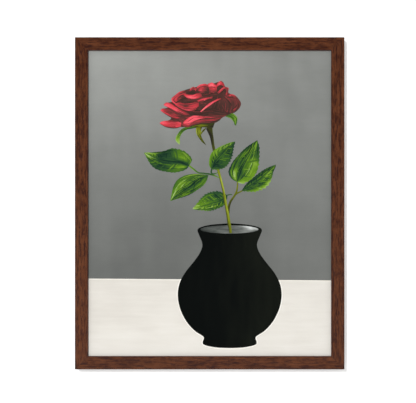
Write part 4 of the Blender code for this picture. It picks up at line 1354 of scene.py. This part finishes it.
def make_corner_folds(finish, half, back_y):
    """The spare cloth at each corner, folded flat over the flaps with one slanting edge."""
    folds = []
    straight = [(0.0010, 0.0014), (0.0100, 0.0012), (0.0195, 0.0014)]
    slant = [(0.0012, 0.0030), (0.0085, 0.0105), (0.0182, 0.0192)]
    inset = ruled([straight, slant], *FOLD_GRID)
    swell = FOLD_SWELL * np.sin(np.linspace(0, math.pi, FOLD_GRID[0]))[:, None] ** 0.6
    for vertical, up in (("top", 1), ("bottom", -1)):
        for horizontal, right in (("left", -1), ("right", 1)):
            points = np.empty((2, *FOLD_GRID, 3))
            points[..., 0] = right * (half[0] - inset[..., 0])
            points[..., 2] = CENTRE_Z + up * (half[1] - inset[..., 1])
            points[0, ..., 1] = back_y + FOLD_RAISED + swell
            points[1, ..., 1] = back_y - FOLD_SUNK
            folds.append(plain(f"canvas_fold_{vertical}_{horizontal}", [points], finish))
    return folds


def plain(name, grids, finish):
    """One piece from closed pairs of facing grids of points, all of one size."""
    count = grids[0].size // 3
    faces = closed_faces(*grids[0].shape[1:3])
    faces = np.concatenate([faces + i * count for i in range(len(grids))])
    points = np.concatenate([grid.reshape(-1, 3) for grid in grids])
    mesh = bpy.data.meshes.new(name)
    mesh.from_pydata(points.tolist(), [], faces.tolist())
    return piece(name, mesh, finish)


def staple(centre, slant, level, back_y):
    """A flat wire crown whose ends bend down into the bar, as two facing grids of points."""
    share = np.linspace(-1, 1, 9)[None, :]
    along = STAPLE_HALF_CROWN * share
    across = STAPLE_HALF_WIDTH * np.array([[-1], [1]])
    ways = (0, 2) if level else (2, 0)
    points = np.empty((2, 2, 9, 3))
    points[..., ways[0]] = centre[0] + along * math.cos(slant) - across * math.sin(slant)
    points[..., ways[1]] = centre[1] + along * math.sin(slant) + across * math.cos(slant)
    points[..., 2] += CENTRE_Z
    sunk = np.where(np.abs(share) < 0.8, 0.0001, 0.0006)
    points[0, ..., 1] = back_y + STAPLE_HEIGHT - sunk
    points[1, ..., 1] = back_y - sunk
    return points


def make_staples(finish):
    """Staples along the flaps, a little uneven, clear of the clips' arms."""
    low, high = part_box("canvas")
    half = (high.x, (high.z - low.z) / 2)
    clips = [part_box(f"offset_clip_left_{level}") for level in ("upper", "lower")]
    draw = random.Random(11)
    for side in SIDES:
        level = side in ("top", "bottom")
        sign = 1 if side in ("top", "right") else -1
        length, distance = half if level else half[::-1]
        staples = []
        reach = length - STAPLE_FROM_CORNER
        for along in np.linspace(-reach, reach, 8 if level else 10):
            along += draw.uniform(-0.003, 0.003)
            inset = STAPLE_FROM_EDGE + draw.uniform(-0.0012, 0.0012)
            slant = math.radians(draw.uniform(-9, 9))
            z, clear = along + CENTRE_Z, STAPLE_CLEAR_OF_CLIP
            if not level and any(box[0].z - clear < z < box[1].z + clear for box in clips):
                along += STAPLE_PAST_CLIP
            staples.append(staple((along, sign * (distance - inset)), slant, level, high.y))
        plain(f"staples_{side}", staples, finish)


# CAD pieces that show as they are


def dress(node, finish):
    """The finish on every slot of a CAD node, whose mesh stays as it is."""
    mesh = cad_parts[node].data
    if not mesh.materials:
        mesh.materials.append(finish)
    for i in range(len(mesh.materials)):
        mesh.materials[i] = finish


def dress_cad(zinc):
    woods = {}
    for level in (True, False):
        way = "level" if level else "upright"
        woods[level] = (
            walnut(f"walnut_{way}", level), pale_wood(f"pine_{way}", PINE, level, 60, 0.35),
            pale_wood(f"beech_{way}", BEECH, level, 25, 0.7),
        )
    brass = metal("brassed_steel_worn", (0.72, 0.54, 0.26), (0.50, 0.36, 0.18), 0.24, 0.42)
    black_rubber = rubber("bumper_rubber_dusty")
    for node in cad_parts:
        level = "top" in node.split("_")[:3] or "bottom" in node.split("_")[:3]
        if node.startswith("frame_rail"):
            dress(node, woods[level][0])
        elif node.startswith("stretcher_bar"):
            dress(node, woods[level][1])
        elif node.startswith("canvas_key"):
            dress(node, woods[not level][2])
        elif node.startswith(("hanger_strap", "d_ring")):
            dress(node, brass)
        elif node.startswith("wall_bumper"):
            dress(node, black_rubber)
        elif node.startswith(("offset_clip", "clip_screw", "strap_screw", "v_nail")):
            dress(node, zinc)


def drawn_out(name, source, ends, away, finish):
    """One closed piece from these faces of a mesh to where they come when moved this far away."""
    faces = [[tuple(source.vertices[v].co) for v in end.vertices] for end in ends]
    near = list(dict.fromkeys(corner for face in faces for corner in face))
    count = len(near)
    faces = [[near.index(corner) for corner in face] for face in faces]
    edges = [edge for face in faces for edge in zip(face, face[1:] + face[:1])]
    rim = [(a, b) for a, b in edges if (b, a) not in edges]
    sides = [(a, b, b + count, a + count) for a, b in rim]
    far = [[corner + count for corner in face] for face in faces]
    mesh = bpy.data.meshes.new(name)
    mesh.from_pydata(near + [Vector(corner) + away for corner in near], [], faces + far + sides)
    return piece(name, mesh, finish)


def make_glue_lines():
    """Dried glue between the rails, which closes each mitre: a rail's end face, drawn out to the next."""
    glue = Finish("mitre_glue", Roughness=0.5)
    grains = glue.noise(glue.place(), 900, 3)
    glue.feed(Base_Color=glue.mix(grains, seen(40, 19, 12), seen(64, 32, 20)))
    for vertical in ("top", "bottom"):
        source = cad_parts[f"frame_rail_{vertical}"].data
        for horizontal, right in (("left", -1), ("right", 1)):
            ends = [f for f in source.polygons if f.normal.x * right > 0.5 and abs(f.normal.z) > 0.5]
            away = ends[0].normal * MITRE_GLUE
            name = f"glue_line_{vertical}_{horizontal}"
            drawn_out(name, source, ends, away, glue.material)


# Studio

CAMERA_DISTANCE = 1.842  # from the front of the frame
CAMERA_ASIDE = -0.0027
CAMERA_ABOVE = 0.0029
CAMERA_LENS, CAMERA_SENSOR = 100, 36  # millimetres
KEY_PLACE, KEY_SIZE, KEY_POWER = (-0.60, -3.2, CENTRE_Z + 0.62), 0.20, 61.5
BACK_PLACE, BACK_SIZE, BACK_POWER = (0.6, 2.4, CENTRE_Z + 0.9), 0.9, 26.0
WALL_GAP = 0.0005  # behind the bumpers
WALL_HALF_WIDTH, WALL_HALF_HEIGHT = 3, 2
FLOOR_BELOW = 0.5
FLOOR_HALF = 6
CORNERS = ((-1, -1), (1, -1), (1, 1), (-1, 1))


def aim(obj, target):
    obj.rotation_euler = (Vector(target) - obj.location).to_track_quat("-Z", "Y").to_euler()


def area_light(name, place, size, power):
    light = bpy.data.lights.new(name, "AREA")
    light.shape = "DISK"
    light.size = size
    light.energy = power
    obj = add(name, light)
    obj.location = place
    aim(obj, (0.0, 0.0, CENTRE_Z))
    return obj


def plane(name, corners, finish):
    mesh = bpy.data.meshes.new(name)
    mesh.from_pydata(corners, [], [(0, 1, 2, 3)])
    mesh.materials.append(finish)
    obj = add(name, mesh)
    return obj


def wall_finish():
    """White from the room side. From behind it isn't there, so the picture's back can be seen."""
    finish = Finish("studio_wall")
    tree = finish.tree
    output = tree.nodes["Material Output"]
    white = finish.node("ShaderNodeBsdfDiffuse", {"Color": (0.9, 0.9, 0.9, 1.0)})
    glow = finish.node("ShaderNodeEmission", {"Color": (1, 1, 1, 1), "Strength": 0.30})
    both = finish.node("ShaderNodeAddShader", {0: white.outputs[0], 1: glow.outputs[0]})
    clear = finish.node("ShaderNodeBsdfTransparent")
    behind = finish.node("ShaderNodeNewGeometry").outputs["Backfacing"]
    mixed = finish.node("ShaderNodeMixShader", {0: behind, 1: both.outputs[0], 2: clear.outputs[0]})
    tree.links.new(mixed.outputs[0], output.inputs["Surface"])
    return finish.material


def make_world():
    """Even light from all round. Gloss sees a dim room behind the camera, and white to the camera."""
    world = bpy.data.worlds.new("studio")
    world.use_nodes = True
    tree = world.node_tree
    output = tree.nodes["World Output"]
    backgrounds = [tree.nodes["Background"]]
    backgrounds += [tree.nodes.new("ShaderNodeBackground") for _ in range(2)]
    even, reflected, white = backgrounds
    even.inputs["Color"].default_value = (0.5, 0.5, 0.5, 1.0)
    white.inputs["Color"].default_value = (0.95, 0.95, 0.95, 1.0)
    place = tree.nodes.new("ShaderNodeTexCoord")
    parts = tree.nodes.new("ShaderNodeSeparateXYZ")
    room = tree.nodes.new("ShaderNodeMapRange")
    room.interpolation_type = "SMOOTHSTEP"
    for name, value in (("From Min", -0.85), ("From Max", -0.35), ("To Min", 0.07), ("To Max", 0.6)):
        room.inputs[name].default_value = value
    tree.links.new(place.outputs["Generated"], parts.inputs[0])
    tree.links.new(parts.outputs["Y"], room.inputs["Value"])
    tree.links.new(room.outputs["Result"], reflected.inputs["Color"])
    path = tree.nodes.new("ShaderNodeLightPath")
    surface = even.outputs[0]
    for ray, background in (("Is Glossy Ray", reflected), ("Is Camera Ray", white)):
        mixed = tree.nodes.new("ShaderNodeMixShader")
        tree.links.new(path.outputs[ray], mixed.inputs[0])
        tree.links.new(surface, mixed.inputs[1])
        tree.links.new(background.outputs[0], mixed.inputs[2])
        surface = mixed.outputs[0]
    tree.links.new(surface, output.inputs["Surface"])
    bpy.context.scene.world = world


def make_studio():
    make_world()
    key = area_light("key_light", KEY_PLACE, KEY_SIZE, KEY_POWER)
    key.visible_glossy = False
    area_light("back_light", BACK_PLACE, BACK_SIZE, BACK_POWER)

    wall_y = cad_box[1].y + WALL_GAP
    corners = [(WALL_HALF_WIDTH * x, wall_y, WALL_HALF_HEIGHT * z) for x, z in CORNERS]
    wall = plane("studio_wall", corners, wall_finish())
    wall.visible_shadow = False
    wall.visible_diffuse = False
    wall.visible_glossy = False
    wall.visible_transmission = False
    pale = Finish("studio_floor", Roughness=0.8)
    speckle = pale.noise(pale.place(), 40, 4)
    floor_colour = pale.mix(speckle, (0.80, 0.80, 0.79), (0.84, 0.84, 0.83))
    floor_z = cad_box[0].z - FLOOR_BELOW
    corners = [(FLOOR_HALF * x, FLOOR_HALF * y, floor_z) for x, y in CORNERS]
    plane("studio_floor", corners, pale.feed(Base_Color=floor_colour))

    camera = add("camera", bpy.data.cameras.new("camera"))
    camera.data.lens = CAMERA_LENS
    camera.data.sensor_width = CAMERA_SENSOR
    camera.location = (CAMERA_ASIDE, FRAME_FRONT_Y - CAMERA_DISTANCE, CENTRE_Z + CAMERA_ABOVE)
    camera.rotation_euler = (math.pi / 2, 0, 0)
    bpy.context.scene.camera = camera
    bpy.context.scene.view_settings.view_transform = "Standard"


zinc_plate = metal("zinc_plate_worn", (0.66, 0.67, 0.68), (0.46, 0.46, 0.45), 0.28, 0.48)
make_backdrop()
make_tabletop()
make_vase()
make_halo()
make_vase_mouth()
make_stems()
make_sepals()
make_leaves()
make_rose()
make_canvas()
make_staples(zinc_plate)
dress_cad(zinc_plate)
make_glue_lines()
make_studio()
